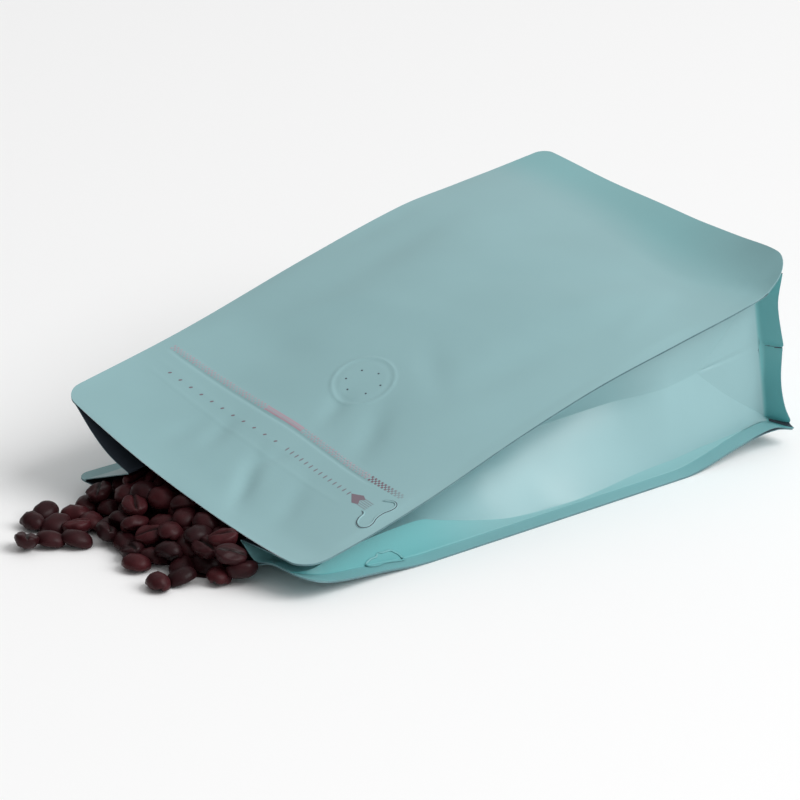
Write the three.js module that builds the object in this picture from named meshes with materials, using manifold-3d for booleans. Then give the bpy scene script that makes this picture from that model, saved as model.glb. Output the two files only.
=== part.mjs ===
// A quad-seal coffee pouch with a degassing valve, lying on its back panel with its mouth open and
// roasted beans running out of it. Millimetres, +Z up. The pouch's length runs along Y: the mouth
// faces -Y and the bottom sheet +Y. The origin is on the floor under the middle of the back panel.
import * as THREE from 'three';
import { mergeVertices } from 'three/addons/utils/BufferGeometryUtils.js';
import Module from 'manifold-3d';

const wasm = await Module();
wasm.setup();

// Driving dimensions. A distance "along" the pouch is measured from its mouth.
const pouch = {
  width: 130, // over the side seals
  sideSeal: 7, // width of each welded side seal
  length: 204, // mouth to bottom sheet
  endSeal: 8, // seal that stands past the bottom sheet
  corner: 6.5, // radius of the panel corners
  film: 0.6, // wall of the laminate, thickened so that it is a sound solid
  restAt: 105, // from the mouth to the origin
};
const gap = 0.35; // clearance between separate pieces
const bite = 0.1; // how far pieces that are joined run into one another

// Heights of the four long edges over the floor at a few places along the pouch.
const frontEdge = {
  left: [[0, 35.5], [50, 45], [105, 58.5], [146, 67.3], [169, 69.5], [212, 73]],
  right: [[0, 13.3], [12, 13.6], [49, 21.8], [92, 34.6], [127, 43.6], [162, 50], [196, 56.3], [212, 62]],
};
const backEdge = {
  left: [[0, 6.8], [20, 2.5], [45, 0], [165, 0], [190, 5], [212, 8]],
  right: [[0, 9.3], [12, 5.2], [30, 2.6], [55, 0], [165, 0], [190, 5], [204, 7.4], [212, 5.5]],
};
// The back panel lies flat in its middle and lifts between these shares of its half width.
const backCurl = { from: 0.34, to: 0.8 };
// The front panel sags between its edges at the mouth and is crowned over the body.
const frontCrown = [[0, -4.6], [40, -1], [100, 4], [150, 4], [204, 1], [212, 0.5]];

// The side gussets fold inwards along a crease and lie flat over the last part of the pouch.
const gusset = {
  half: { left: 30, right: 25.5 }, // film from a side seal to the crease
  creaseShare: { left: 0.5, right: 0.57 }, // height of the crease between the two seals
  flatFrom: 176, // where the crease meets the corner folds
  foldFrom: 128, // where the fold starts to run out
  flare: 6, // how far its end seal stands out sideways
  flareReach: 4.5, // and how far it reaches past the bottom sheet
  creaseWall: 1.2, // wall at the crease, measured sideways, as a share of the film
};

const valve = {
  x: 4.5, along: 74, // its centre
  ring: 22, rib: 2, ribHeight: 0.8, ribRound: 0.4, // the round rib that it raises in the film
  holes: 6, holeCircle: 12, hole: 0.9, // pinholes inside that rib
  flange: 1, body: 18, height: 3.2, edge: 0.8, // the cap under the film
  well: 10, wellDepth: 0.8, seat: 15.6, seatDepth: 0.7, // its outlet below and its shallow seat above
};
const zip = { along: 43, length: 92, width: 9, base: 0.6, rib: 1.6, ribPitch: 2.6, ribWidth: 1.1 };
const bean = { length: 10.6, width: 8.4, dome: 3.9, flat: 1.6 };
// The heap runs from inside the pouch out over the floor in front of the mouth.
const heap = {
  inside: 74, // how far it reaches in from the mouth
  bed: 8, // its height at that inner end
  top: 17, // its height in the mouth
  slope: 0.6, // its fall in front of the mouth
  least: 6, // its least height over the fan
  leftFall: 6, leftFrom: -15, leftTo: -40, // it is lower towards its left side
  spillX: -4, spillHalf: 46, spillReach: 19, // the fan on the floor
  shown: 22, // beans further in than this are part of the plain core
  coreEdge: 6, // how far the core keeps inside the fan
  tries: 1500, picks: 5, seed: 21,
  contact: 0.85, // beans settle into one another by this share of their size
  lift: 0.5, // a bean's middle over its flat side, besides the thickness of that side
};
// Beans that lie loose round the foot of the fan: x, y and how far each is turned, in degrees.
const rimBeans = [
  [-47.2, -127, 20], [-44.2, -133.2, 80], [-36.4, -129.6, 10], [-28.8, -126.8, 150], [-22.4, -132.2, 140],
  [-27.2, -138, 130], [-30.7, -146.2, 60], [-43.6, -111.4, 35], [-39.6, -119.6, 110], [-31.2, -119, 60],
  [-23, -117.2, 30], [-9.5, -121, 65], [6.9, -128.6, 100], [6.8, -120.4, 150], [24.3, -132.4, 70],
  [25.6, -124.6, 165], [33.2, -114.2, 40], [18.6, -118.6, 20],
];

const half = pouch.width / 2;
const root = half - pouch.sideSeal;

// A smooth curve through a few stations.
function along(stations, v) {
  const last = stations.length - 1;
  if (v <= stations[0][0]) return stations[0][1];
  if (v >= stations[last][0]) return stations[last][1];
  const i = stations.findIndex((s, k) => k < last && v <= stations[k + 1][0]);
  const slope = (k) => {
    const a = stations[Math.max(k - 1, 0)];
    const b = stations[Math.min(k + 1, last)];
    return (b[1] - a[1]) / (b[0] - a[0]);
  };
  const span = stations[i + 1][0] - stations[i][0];
  const u = (v - stations[i][0]) / span;
  return (2 * u ** 3 - 3 * u * u + 1) * stations[i][1] + (u ** 3 - 2 * u * u + u) * slope(i) * span
    + (3 * u * u - 2 * u ** 3) * stations[i + 1][1] + (u ** 3 - u * u) * slope(i + 1) * span;
}

function ease(from, to, x) {
  const t = Math.min(Math.max((x - from) / (to - from), 0), 1);
  return t * t * (3 - 2 * t);
}

// Height of the outer face of each panel.
function frontZ(x, v) {
  const s = x / half;
  return along(frontEdge.left, v) * (1 - s) / 2 + along(frontEdge.right, v) * (1 + s) / 2
    + along(frontCrown, v) * (1 - s * s);
}

function backZ(x, v) {
  const lift = x < 0 ? along(backEdge.left, v) : along(backEdge.right, v);
  return Math.max(lift, 0) * ease(backCurl.from, backCurl.to, Math.abs(x) / half);
}

// Half width of a panel, drawn in over its rounded corners.
function tip(v, end = pouch.length + pouch.endSeal) {
  const fromEnd = Math.min(v, end - v, pouch.corner);
  const rise = pouch.corner - fromEnd;
  return half - pouch.corner + Math.sqrt(Math.max(pouch.corner ** 2 - rise ** 2, 0));
}

// The fold of one gusset at a place along the pouch: its seals, and its crease between them.
function fold(side, v) {
  const name = side < 0 ? 'left' : 'right';
  const top = frontZ(side * root, v) - pouch.film;
  const low = backZ(side * root, v) + pouch.film;
  const run = 1 - ease(gusset.foldFrom, gusset.flatFrom, v);
  const depth = run * Math.sqrt(Math.max(gusset.half[name] ** 2 - ((top - low) / 2) ** 2, 0));
  return { top, low, depth, crease: low + gusset.creaseShare[name] * (top - low) };
}

// A point on a gusset: f is 0 at the front seal, 1 at the crease and 2 at the back seal. With an
// offset it lies that far inside the pouch.
function gussetPoint(side, v, f, offset = 0) {
  const { top, low, depth, crease } = fold(side, v);
  const upper = f <= 1;
  const height = upper ? top - crease : crease - low;
  const long = Math.hypot(depth, height);
  const share = upper ? f : 2 - f;
  const z = upper ? top - height * share : low + height * share;
  if (f === 1) return [side * (root - depth - gusset.creaseWall * offset), crease];
  return [side * (root - depth * share - offset * height / long),
    z + (upper ? 1 : -1) * offset * depth / long];
}

// Where a gusset's inner face leaves the inner face of the front or back panel.
function innerCorner(side, v, wall, front) {
  const steps = 60;
  for (let k = 0; k < steps; k++) {
    const f = front ? k / steps : 2 - k / steps;
    const [x, z] = gussetPoint(side, v, f, wall);
    const panel = front ? frontZ(x, v) - wall : backZ(x, v) + wall;
    if (front ? z <= panel : z >= panel) return { f, point: [x, panel] };
  }
  throw new Error('a gusset never leaves its panel');
}

const acrossSteps = 11;
const foldSteps = 3;

// The outline of the film at a place along the pouch, its seals included, grown by a margin.
function outerLoop(v, grow) {
  const points = [];
  const t = tip(v) + grow;
  const thick = pouch.film + 2 * grow;
  const topZ = (x) => frontZ(x, v) + grow;
  const lowZ = (x) => backZ(x, v) - grow;
  const row = (height, back) => {
    const xs = [-t, ...spread(acrossSteps).map((u) => root * (2 * u - 1)), t];
    if (back) xs.reverse();
    xs.forEach((x) => points.push([x, height(x)]));
  };
  const side = (s) => {
    const { top, low } = fold(s, v);
    const turn = [[s * t, topZ(s * t) - thick], [s * root, top - grow]];
    for (let k = 1; k < 2 * foldSteps; k++) turn.push(gussetPoint(s, v, k / foldSteps, -grow));
    turn.push([s * root, low + grow], [s * t, lowZ(s * t) + thick]);
    if (s < 0) turn.reverse();
    points.push(...turn);
  };
  row(topZ, false);
  side(1);
  row(lowZ, true);
  side(-1);
  return points;
}

function innerLoop(v, wall) {
  const points = [];
  const corner = {};
  for (const s of [-1, 1]) corner[s] = [innerCorner(s, v, wall, true), innerCorner(s, v, wall, false)];
  const row = (from, to, height) => {
    for (let i = 0; i < acrossSteps; i++) {
      const x = from.point[0] + (to.point[0] - from.point[0]) * i / acrossSteps;
      points.push(i === 0 ? from.point : [x, height(x)]);
    }
  };
  const side = (s) => {
    const [a, b] = s > 0 ? corner[s] : [corner[s][1], corner[s][0]];
    points.push(a.point);
    for (let k = 1; k < 2 * foldSteps; k++) {
      const f = k < foldSteps ? a.f + (1 - a.f) * k / foldSteps : 1 + (b.f - 1) * (k / foldSteps - 1);
      points.push(gussetPoint(s, v, f, wall));
    }
  };
  row(corner[-1][0], corner[1][0], (x) => frontZ(x, v) - wall);
  side(1);
  row(corner[1][1], corner[-1][1], (x) => backZ(x, v) + wall);
  side(-1);
  return points;
}

// Gathers triangles and gives them out as a solid.
class Skin {
  constructor() {
    this.triangles = [];
  }

  quad(a, b, c, d) {
    this.triangles.push(a, b, c, a, c, d);
  }

  loops(rows, inward) {
    for (let k = 0; k + 1 < rows.length; k++) {
      rows[k].forEach((point, i) => {
        const j = (i + 1) % rows[k].length;
        if (inward) this.quad(point, rows[k + 1][i], rows[k + 1][j], rows[k][j]);
        else this.quad(point, rows[k][j], rows[k + 1][j], rows[k + 1][i]);
      });
    }
  }

  face(points, facesMouth) {
    const loop = facesMouth ? points : [...points].reverse();
    for (let i = 1; i + 1 < loop.length; i++) this.triangles.push(loop[0], loop[i], loop[i + 1]);
  }

  strip(outer, inner, facesMouth) {
    for (let i = 0; i + 1 < outer.length; i++) {
      this.face([outer[i], inner[i], inner[i + 1], outer[i + 1]], facesMouth);
    }
  }

  // Closes a loop of four sides towards a line across its middle.
  cap([front, right, back, left], facesMouth) {
    const n = front.length - 1;
    const reach = 0.85; // length of that line as a share of the width
    const middle = front.map((p, i) => {
      const q = back[n - i];
      return [reach * (p[0] + q[0]) / 2, (p[1] + q[1]) / 2, (p[2] + q[2]) / 2];
    });
    this.strip(front, middle, facesMouth);
    this.strip(back, [...middle].reverse(), facesMouth);
    for (const [run, centre] of [[right, middle[n]], [left, middle[0]]]) {
      for (let i = 0; i + 1 < run.length; i++) this.face([run[i], centre, run[i + 1]], facesMouth);
    }
  }

  geometry() {
    const shape = new THREE.BufferGeometry();
    shape.setAttribute('position', new THREE.Float32BufferAttribute(this.triangles.flat(), 3));
    return mergeVertices(shape, 1e-4);
  }
}

function toSolid(geometry) {
  const merged = geometry.clone();
  merged.deleteAttribute('normal');
  merged.deleteAttribute('uv');
  const shape = mergeVertices(merged, 1e-4);
  const vertProperties = new Float32Array(shape.attributes.position.array);
  const triVerts = new Uint32Array(shape.index.array);
  return new wasm.Manifold(new wasm.Mesh({ numProp: 3, vertProperties, triVerts }));
}

function toGeometry(solid) {
  const mesh = solid.getMesh();
  const shape = new THREE.BufferGeometry();
  shape.setAttribute('position', new THREE.BufferAttribute(mesh.vertProperties, 3));
  shape.setIndex(new THREE.BufferAttribute(mesh.triVerts, 1));
  return shape;
}

const place = (v) => (p) => [p[0], v - pouch.restAt, p[1]];

// The four sides of an outer loop, with its corners left to the side seals, and of an inner loop.
function outerSides(loop) {
  const n = acrossSteps;
  const m = 2 * foldSteps;
  const right = n + 4;
  const back = right + m + 3;
  const left = back + n + 3;
  return {
    front: loop.slice(1, n + 2),
    right: loop.slice(right, right + m + 1),
    back: loop.slice(back, back + n + 1),
    left: loop.slice(left, left + m + 1),
    seals: [loop.slice(n + 1, right + 1), loop.slice(right + m, back + 1), loop.slice(back + n, left + 1),
      [...loop.slice(left + m), loop[0], loop[1]]].map((seal) => seal.reverse()),
  };
}

function innerSides(loop) {
  const n = acrossSteps;
  const m = 2 * foldSteps;
  const closed = [...loop, loop[0]];
  const ends = [0, n, n + m, 2 * n + m, 2 * (n + m)];
  return ends.slice(0, 4).map((from, k) => closed.slice(from, ends[k + 1] + 1));
}

// The film bag from its mouth to the bottom sheet, with its side seals. Grown by a margin it is
// the space that the beans have to keep out of.
function filmTube(wall, grow) {
  const mouth = -grow;
  const rows = [mouth, mouth + 0.8, 2.4, pouch.corner, 16, 28, 40, 53, 66, 79, 92, 104, 118, 130, 141,
    151, 160, 168, gusset.flatFrom, 190];
  const outer = [...rows, pouch.length].map((v) => outerLoop(v, grow).map(place(v)));
  const inner = [...rows, pouch.length - wall].map((v) => innerLoop(v, wall + grow).map(place(v)));
  const skin = new Skin();
  skin.loops(outer, false);
  skin.loops(inner, true);

  const { front, right, back, left, seals } = outerSides(outer[0]);
  const inside = innerSides(inner[0]);
  [front, right, back, left].forEach((run, k) => skin.strip(run, inside[k], true));
  seals.forEach((seal, k) => {
    skin.face(seal, true);
    skin.face([seal[0], seal[3], inside[(k + 1) % 4][0]], true);
  });

  const end = outerSides(outer.at(-1));
  const joined = (k, run) => [end.seals[k][3], ...run, end.seals[k + 1][0]];
  skin.cap([end.front, joined(0, end.right), end.back, joined(2, end.left)], false);
  end.seals.forEach((seal) => skin.face(seal, false));
  skin.cap(innerSides(inner.at(-1)), true);
  return toSolid(skin.geometry());
}

// A thin sheet between two faces given as functions of u and w from 0 to 1.
function sheet(columns, rows, upper, lower) {
  const skin = new Skin();
  const top = rows.map((w) => columns.map((u) => upper(u, w)));
  const low = rows.map((w) => columns.map((u) => lower(u, w)));
  const m = rows.length - 1;
  const n = columns.length - 1;
  for (let k = 0; k < m; k++) {
    for (let i = 0; i < n; i++) {
      skin.quad(top[k][i], top[k][i + 1], top[k + 1][i + 1], top[k + 1][i]);
      skin.quad(low[k][i], low[k + 1][i], low[k + 1][i + 1], low[k][i + 1]);
    }
    skin.quad(top[k][n], low[k][n], low[k + 1][n], top[k + 1][n]);
    skin.quad(top[k][0], top[k + 1][0], low[k + 1][0], low[k][0]);
  }
  for (let i = 0; i < n; i++) {
    skin.quad(top[0][i], low[0][i], low[0][i + 1], top[0][i + 1]);
    skin.quad(top[m][i], top[m][i + 1], low[m][i + 1], low[m][i]);
  }
  return toSolid(skin.geometry());
}

const spread = (count) => Array.from({ length: count + 1 }, (_, i) => i / count);

// The seal that stands past the bottom sheet on the front or back panel.
function endSeal(height, downFrom, downTo) {
  const start = pouch.length - pouch.film + bite;
  const reach = pouch.length + pouch.endSeal - start;
  const at = (down) => (u, w) => {
    const v = start + reach * w;
    const x = tip(v) * (2 * u - 1);
    return [x, v - pouch.restAt, height(x, v) - down];
  };
  return sheet(spread(acrossSteps), [0, 0.3, 0.55, 0.78, 0.93, 1], at(downFrom), at(downTo));
}

// The end seal of a gusset stands out sideways past the bottom sheet.
function gussetEndSeal(side) {
  const start = pouch.length - pouch.film + bite;
  const inset = 0.15;
  const lean = 0.6; // the inner face stands a little further out, square to the slope
  const at = (offset) => (u, w) => {
    const x = root - inset + gusset.flare * w - offset;
    const v = start + gusset.flareReach * w + offset * lean * w;
    const top = frontZ(side * x, v) - pouch.film / 2;
    const low = backZ(side * x, v) + pouch.film / 2;
    const z = low + (top - low) * u;
    return [side * x, v - pouch.restAt, z];
  };
  const thick = pouch.film - inset;
  const [upper, lower] = side > 0 ? [thick, 0] : [0, thick];
  return sheet(spread(6), spread(3), at(upper), at(lower));
}

// Direction across the front panel at a place, to stand things up on it.
function frontFrame(x, v) {
  const step = 1;
  const slopeX = (frontZ(x + step, v) - frontZ(x - step, v)) / (2 * step);
  const slopeY = (frontZ(x, v + step) - frontZ(x, v - step)) / (2 * step);
  const up = new THREE.Vector3(-slopeX, -slopeY, 1).normalize();
  const turn = new THREE.Quaternion().setFromUnitVectors(new THREE.Vector3(0, 0, 1), up);
  const at = new THREE.Vector3(x, v - pouch.restAt, frontZ(x, v));
  return new THREE.Matrix4().compose(at, turn, new THREE.Vector3(1, 1, 1));
}

// A turned shape that stands on the front panel at the valve.
function turnedOnFront(profile, sides) {
  const shape = new THREE.LatheGeometry(profile.map((p) => new THREE.Vector2(p[0], p[1])), sides);
  return toSolid(shape.rotateX(Math.PI / 2).applyMatrix4(frontFrame(valve.x, valve.along)));
}

// The valve under the film raises a round rib in it, and pinholes let the gas through to it.
function valveMarks(solid) {
  const outer = valve.ring / 2;
  const inner = outer - valve.rib;
  const low = -pouch.film / 2;
  const high = valve.ribHeight;
  const round = valve.ribRound;
  const rib = [[inner, low], [outer, low], [outer, high - round], [outer - round, high],
    [inner + round, high], [inner, high - round], [inner, low]];
  let marked = solid.add(turnedOnFront(rib, 28));
  for (let k = 0; k < valve.holes; k++) {
    const angle = (k + 0.35) * 2 * Math.PI / valve.holes;
    const hole = new THREE.CylinderGeometry(valve.hole / 2, valve.hole / 2, 4, 6).rotateX(Math.PI / 2);
    hole.translate(Math.cos(angle) * valve.holeCircle / 2, Math.sin(angle) * valve.holeCircle / 2, 0);
    marked = marked.subtract(toSolid(hole.applyMatrix4(frontFrame(valve.x, valve.along))));
  }
  return marked;
}

function makePouch() {
  const t = pouch.film;
  let solid = filmTube(t, 0);
  const inset = 0.05;
  solid = solid.add(endSeal(frontZ, inset, t - inset));
  solid = solid.add(endSeal(backZ, inset - t, -inset));
  solid = solid.add(gussetEndSeal(1)).add(gussetEndSeal(-1));
  return toGeometry(valveMarks(solid));
}

// The degassing valve: a flanged cap welded to the inner face of the front panel.
function makeValve() {
  const top = -(pouch.film + gap);
  const low = top - valve.height;
  const r = valve.ring / 2;
  const cap = valve.body / 2;
  const well = valve.well / 2;
  const seat = valve.seat / 2;
  const profile = [[0, low + valve.wellDepth], [well, low + valve.wellDepth], [well, low],
    [cap - valve.edge, low], [cap, low + valve.edge], [cap, top - valve.flange], [r, top - valve.flange],
    [r, top], [seat, top], [seat, top - valve.seatDepth], [0, top - valve.seatDepth]];
  return toGeometry(turnedOnFront(profile, 24));
}

// The press-to-close strip runs across under the front panel: a flat base with two ribs.
function makeZip() {
  const top = pouch.film + gap;
  const rail = (middle, width, from, to) => {
    const at = (down) => (u, w) => {
      const x = zip.length * (u - 0.5);
      const v = zip.along + middle + width * (w - 0.5);
      return [x, v - pouch.restAt, frontZ(x, v) - down];
    };
    return sheet(spread(10), [0, 1], at(from), at(to));
  };
  const low = top + zip.base;
  const base = rail(0, zip.width, top, low);
  const rib = (side) => rail(side * zip.ribPitch / 2, zip.ribWidth, low - bite, low + zip.rib);
  return toGeometry(base.add(rib(-1)).add(rib(1)));
}

// A small generator of repeatable random numbers from 0 to 1.
function dice(seed) {
  let state = seed;
  return () => {
    state = (state + 0x6d2b79f5) | 0;
    let t = Math.imul(state ^ (state >>> 15), 1 | state);
    t = (t + Math.imul(t ^ (t >>> 7), 61 | t)) ^ t;
    return ((t ^ (t >>> 14)) >>> 0) / 4294967296;
  };
}

// Whether a point is clear of the film by a margin.
function isClear(x, y, z, margin) {
  const v = y + pouch.restAt;
  if (v < -margin) return z > 0;
  if (z < backZ(x, v) + pouch.film + margin || z > frontZ(x, v) - pouch.film - margin) return false;
  const side = Math.sign(x) || 1;
  const { top, low, depth, crease } = fold(side, v);
  const into = Math.abs(x) - (root - depth) + pouch.film + margin;
  if (into <= 0) return true;
  const share = Math.min(into / Math.max(depth, 1), 1);
  const above = crease + (top - crease) * share + pouch.film + margin;
  const below = crease - (crease - low) * share - pouch.film - margin;
  return Math.abs(x) < root && (z > above || z < below);
}

// The level that the heap is filled to.
function heapTop(x, y) {
  const v = y + pouch.restAt;
  const leftFall = heap.leftFall * ease(heap.leftFrom, heap.leftTo, x);
  if (v > heap.inside) return 0;
  if (v < 0) {
    const reach = heap.spillReach * Math.sqrt(Math.max(1 - ((x - heap.spillX) / heap.spillHalf) ** 2, 0));
    return -v > reach ? 0 : Math.max(heap.top + heap.slope * v - leftFall, heap.least);
  }
  const bed = heap.top + (heap.bed - heap.top) * (v / heap.inside) ** 1.5;
  return bed - leftFall * (1 - v / heap.inside);
}

// Beans dropped one after another: of a few places tried, each comes to rest in the lowest.
function settleBeans() {
  const random = dice(heap.seed);
  const across = heap.contact * (bean.length + bean.width) / 2;
  const above = heap.contact * (bean.dome + bean.flat);
  const lowest = bean.flat + heap.lift;
  const beans = rimBeans.map(([x, y, degrees]) => {
    const turn = degrees * Math.PI / 180;
    return { x, y, z: lowest, turn, tilt: 0.15 };
  });
  const restHeight = (x, y) => {
    const v = y + pouch.restAt;
    let z = (v < 0 ? 0 : backZ(x, v) + pouch.film + gap) + lowest;
    for (const b of beans) {
      const d = Math.hypot(b.x - x, b.y - y) / across;
      if (d < 1) z = Math.max(z, b.z + above * Math.sqrt(1 - d * d));
    }
    return z;
  };
  const fits = (x, y, z) => {
    const shoulder = bean.dome * 0.6;
    if (z + shoulder > heapTop(x, y)) return false;
    for (let k = 0; k < 8; k++) {
      const angle = k * Math.PI / 4;
      const r = bean.width / 2;
      if (!isClear(x + r * Math.cos(angle), y + r * Math.sin(angle), z + heap.lift, gap)) return false;
    }
    return isClear(x, y, z + bean.dome, gap);
  };
  for (let n = 0; n < heap.tries; n++) {
    let best = null;
    for (let k = 0; k < heap.picks; k++) {
      const x = heap.spillX + heap.spillHalf * (2 * random() - 1);
      const y = -pouch.restAt - heap.spillReach + (heap.inside + heap.spillReach) * random();
      const z = restHeight(x, y);
      if ((!best || z < best.z) && fits(x, y, z)) best = { x, y, z };
    }
    const turn = 2 * Math.PI * random();
    const tilt = 0.9 * (random() - 0.5);
    if (best) beans.push({ ...best, turn, tilt });
  }
  return beans;
}

// One bean: domed above, flatter below, its poles at its two ends.
function beanSolid({ x, y, z, turn, tilt }) {
  const shape = new THREE.SphereGeometry(1, 6, 4);
  const points = shape.attributes.position;
  for (let i = 0; i < points.count; i++) {
    const height = points.getZ(i) * (points.getZ(i) > 0 ? bean.dome : bean.flat);
    points.setXYZ(i, points.getY(i) * bean.length / 2, -points.getX(i) * bean.width / 2, height);
  }
  const facetLoss = 1.08; // a coarse ball is thinner than the round one
  shape.scale(facetLoss, facetLoss, facetLoss).rotateX(tilt).rotateZ(turn).translate(x, y, z);
  return toSolid(shape);
}

// The plain body of the heap under the beans that show.
function heapCore() {
  const start = -pouch.restAt - heap.spillReach + heap.coreEdge;
  const end = -pouch.restAt + heap.inside;
  const spot = (u, w) => {
    const y = start + (end - start) * w;
    const v = y + pouch.restAt;
    const bow = Math.sqrt(Math.max(1 - (Math.min(v, 0) / heap.spillReach) ** 2, 0));
    return [heap.spillX + (heap.spillHalf - heap.coreEdge) * bow * (2 * u - 1), y, v];
  };
  const floor = (x, v) => (v < 0 ? 0 : backZ(x, v) + pouch.film);
  const upper = (u, w) => {
    const [x, y, v] = spot(u, w);
    const edge = Math.sqrt(Math.max(0, 1 - (2 * u - 1) ** 4) * Math.sin(Math.PI * w));
    const deep = Math.max(heapTop(x, y) - bean.dome - floor(x, v), bean.flat);
    return [x, y, floor(x, v) + heap.lift + deep * edge];
  };
  const lower = (u, w) => {
    const [x, y, v] = spot(u, w);
    return [x, y, floor(x, v)];
  };
  return sheet(spread(12), spread(12), upper, lower);
}

// The heap is trimmed clear of the film and flat on the floor, and a bean that touches no other is
// left out.
function makeHeap() {
  const shown = settleBeans().filter((b) => b.y + pouch.restAt < heap.shown);
  const fused = wasm.Manifold.union([heapCore(), ...shown.map(beanSolid)]);
  const floorDepth = 10;
  const floor = new THREE.BoxGeometry(2 * pouch.width, 2 * pouch.length, floorDepth);
  floor.translate(0, -pouch.restAt, -floorDepth / 2);
  const trimmed = fused.subtract(filmTube(pouch.film, gap)).subtract(toSolid(floor));
  const pieces = trimmed.decompose().sort((a, b) => b.volume() - a.volume());
  return toGeometry(pieces[0]);
}

const coffeePouch = new THREE.Group();

function addPiece(name, geometry, color, roughness) {
  const material = new THREE.MeshStandardMaterial({ color, roughness, metalness: 0 });
  const mesh = new THREE.Mesh(geometry, material);
  mesh.name = name;
  coffeePouch.add(mesh);
}

addPiece('pouch', makePouch(), '#90b4b8', 0.5);
addPiece('valve', makeValve(), '#e8e8e4', 0.4);
addPiece('zip_strip', makeZip(), '#dfe6e6', 0.35);
addPiece('coffee_beans', makeHeap(), '#3c2220', 0.45);

export default coffeePouch;
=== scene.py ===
import math

import bpy
import numpy as np
from mathutils import Euler, Matrix, Vector


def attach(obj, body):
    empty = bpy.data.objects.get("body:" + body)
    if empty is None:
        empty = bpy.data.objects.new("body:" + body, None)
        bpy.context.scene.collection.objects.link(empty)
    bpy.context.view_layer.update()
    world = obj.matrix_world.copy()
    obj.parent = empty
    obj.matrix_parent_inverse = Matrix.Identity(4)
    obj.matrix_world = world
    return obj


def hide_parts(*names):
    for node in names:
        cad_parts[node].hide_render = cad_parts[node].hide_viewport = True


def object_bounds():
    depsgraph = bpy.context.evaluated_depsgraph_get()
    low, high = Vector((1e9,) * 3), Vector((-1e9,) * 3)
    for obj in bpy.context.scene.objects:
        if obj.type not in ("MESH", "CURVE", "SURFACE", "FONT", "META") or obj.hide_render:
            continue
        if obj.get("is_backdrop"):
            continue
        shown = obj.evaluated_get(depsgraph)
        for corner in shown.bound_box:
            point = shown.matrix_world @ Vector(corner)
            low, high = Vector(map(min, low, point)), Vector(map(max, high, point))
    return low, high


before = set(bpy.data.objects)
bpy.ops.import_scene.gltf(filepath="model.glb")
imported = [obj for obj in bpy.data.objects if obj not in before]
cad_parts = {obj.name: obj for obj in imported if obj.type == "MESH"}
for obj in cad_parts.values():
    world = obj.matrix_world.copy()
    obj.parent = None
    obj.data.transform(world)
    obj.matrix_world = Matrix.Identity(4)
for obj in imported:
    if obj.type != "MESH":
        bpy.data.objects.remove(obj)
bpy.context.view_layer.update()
mm = 0.001
print("frame loaded")


# ---- small helpers ----

def linear(code):  # an sRGB hex value as the linear colour that a socket takes
    parts = [int(code[i:i + 2], 16) / 255 for i in (1, 3, 5)]
    return (*[c / 12.92 if c <= 0.04045 else ((c + 0.055) / 1.055) ** 2.4 for c in parts], 1.0)


def addNode(tree, kind, settings=None, inputs=None):  # settings are properties, inputs are values or sockets
    node = tree.nodes.new(kind)
    for name, value in (settings or {}).items():
        setattr(node, name, value)
    for name, value in (inputs or {}).items():
        if isinstance(value, bpy.types.NodeSocket):
            tree.links.new(value, node.inputs[name])
        else:
            node.inputs[name].default_value = value
    return node


def newMaterial(name):
    material = bpy.data.materials.new(name)
    material.use_nodes = True
    material.node_tree.nodes.clear()
    return material, material.node_tree


def noise(tree, size, detail):  # an uneven pattern, its features about size mm across
    coord = addNode(tree, "ShaderNodeTexCoord")
    pattern = addNode(tree, "ShaderNodeTexNoise", {},
                      {"Vector": coord.outputs["Object"], "Scale": 1000 / size, "Detail": detail})
    return pattern.outputs[0]


def attribute(tree, name):  # a share that is stored on the mesh
    return addNode(tree, "ShaderNodeAttribute", {"attribute_name": name}).outputs["Fac"]


def blend(tree, share, first, second, kind="MIX"):  # each colour is a hex value or a socket
    first, second = (linear(c) if isinstance(c, str) else c for c in (first, second))
    node = addNode(tree, "ShaderNodeMix", {"data_type": "RGBA", "blend_type": kind}, {0: share, 6: first, 7: second})
    return node.outputs[2]


def remap(tree, value, toLow, toHigh, low=0.0, high=1.0):
    return addNode(tree, "ShaderNodeMapRange", {},
                   {"Value": value, "From Min": low, "From Max": high, "To Min": toLow, "To Max": toHigh}).outputs[0]


def ripples(tree, height, strength, depth):  # fine unevenness, its depth in mm
    return addNode(tree, "ShaderNodeBump", {},
                   {"Height": height, "Strength": strength, "Distance": depth * mm}).outputs[0]


def finished(material, tree, inputs):
    shader = addNode(tree, "ShaderNodeBsdfPrincipled", {}, inputs)
    addNode(tree, "ShaderNodeOutputMaterial", {}, {"Surface": shader.outputs[0]})
    return material


def newObject(name, data):
    piece = bpy.data.objects.new(name, data)
    bpy.context.scene.collection.objects.link(piece)
    return piece


def setValues(mesh, name, kind, domain, values):  # one number for each point or edge
    mesh.attributes.new(name, kind, domain).data.foreach_set("value", values)


def outward(azimuth, elevation):  # the way out to the camera or a lamp
    a, e = math.radians(azimuth), math.radians(elevation)
    return Vector((math.sin(a) * math.cos(e), -math.cos(a) * math.cos(e), math.sin(e)))


def ease(start, end, x):
    t = np.clip((x - start) / (end - start), 0, 1)
    return t * t * (3 - 2 * t)


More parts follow.
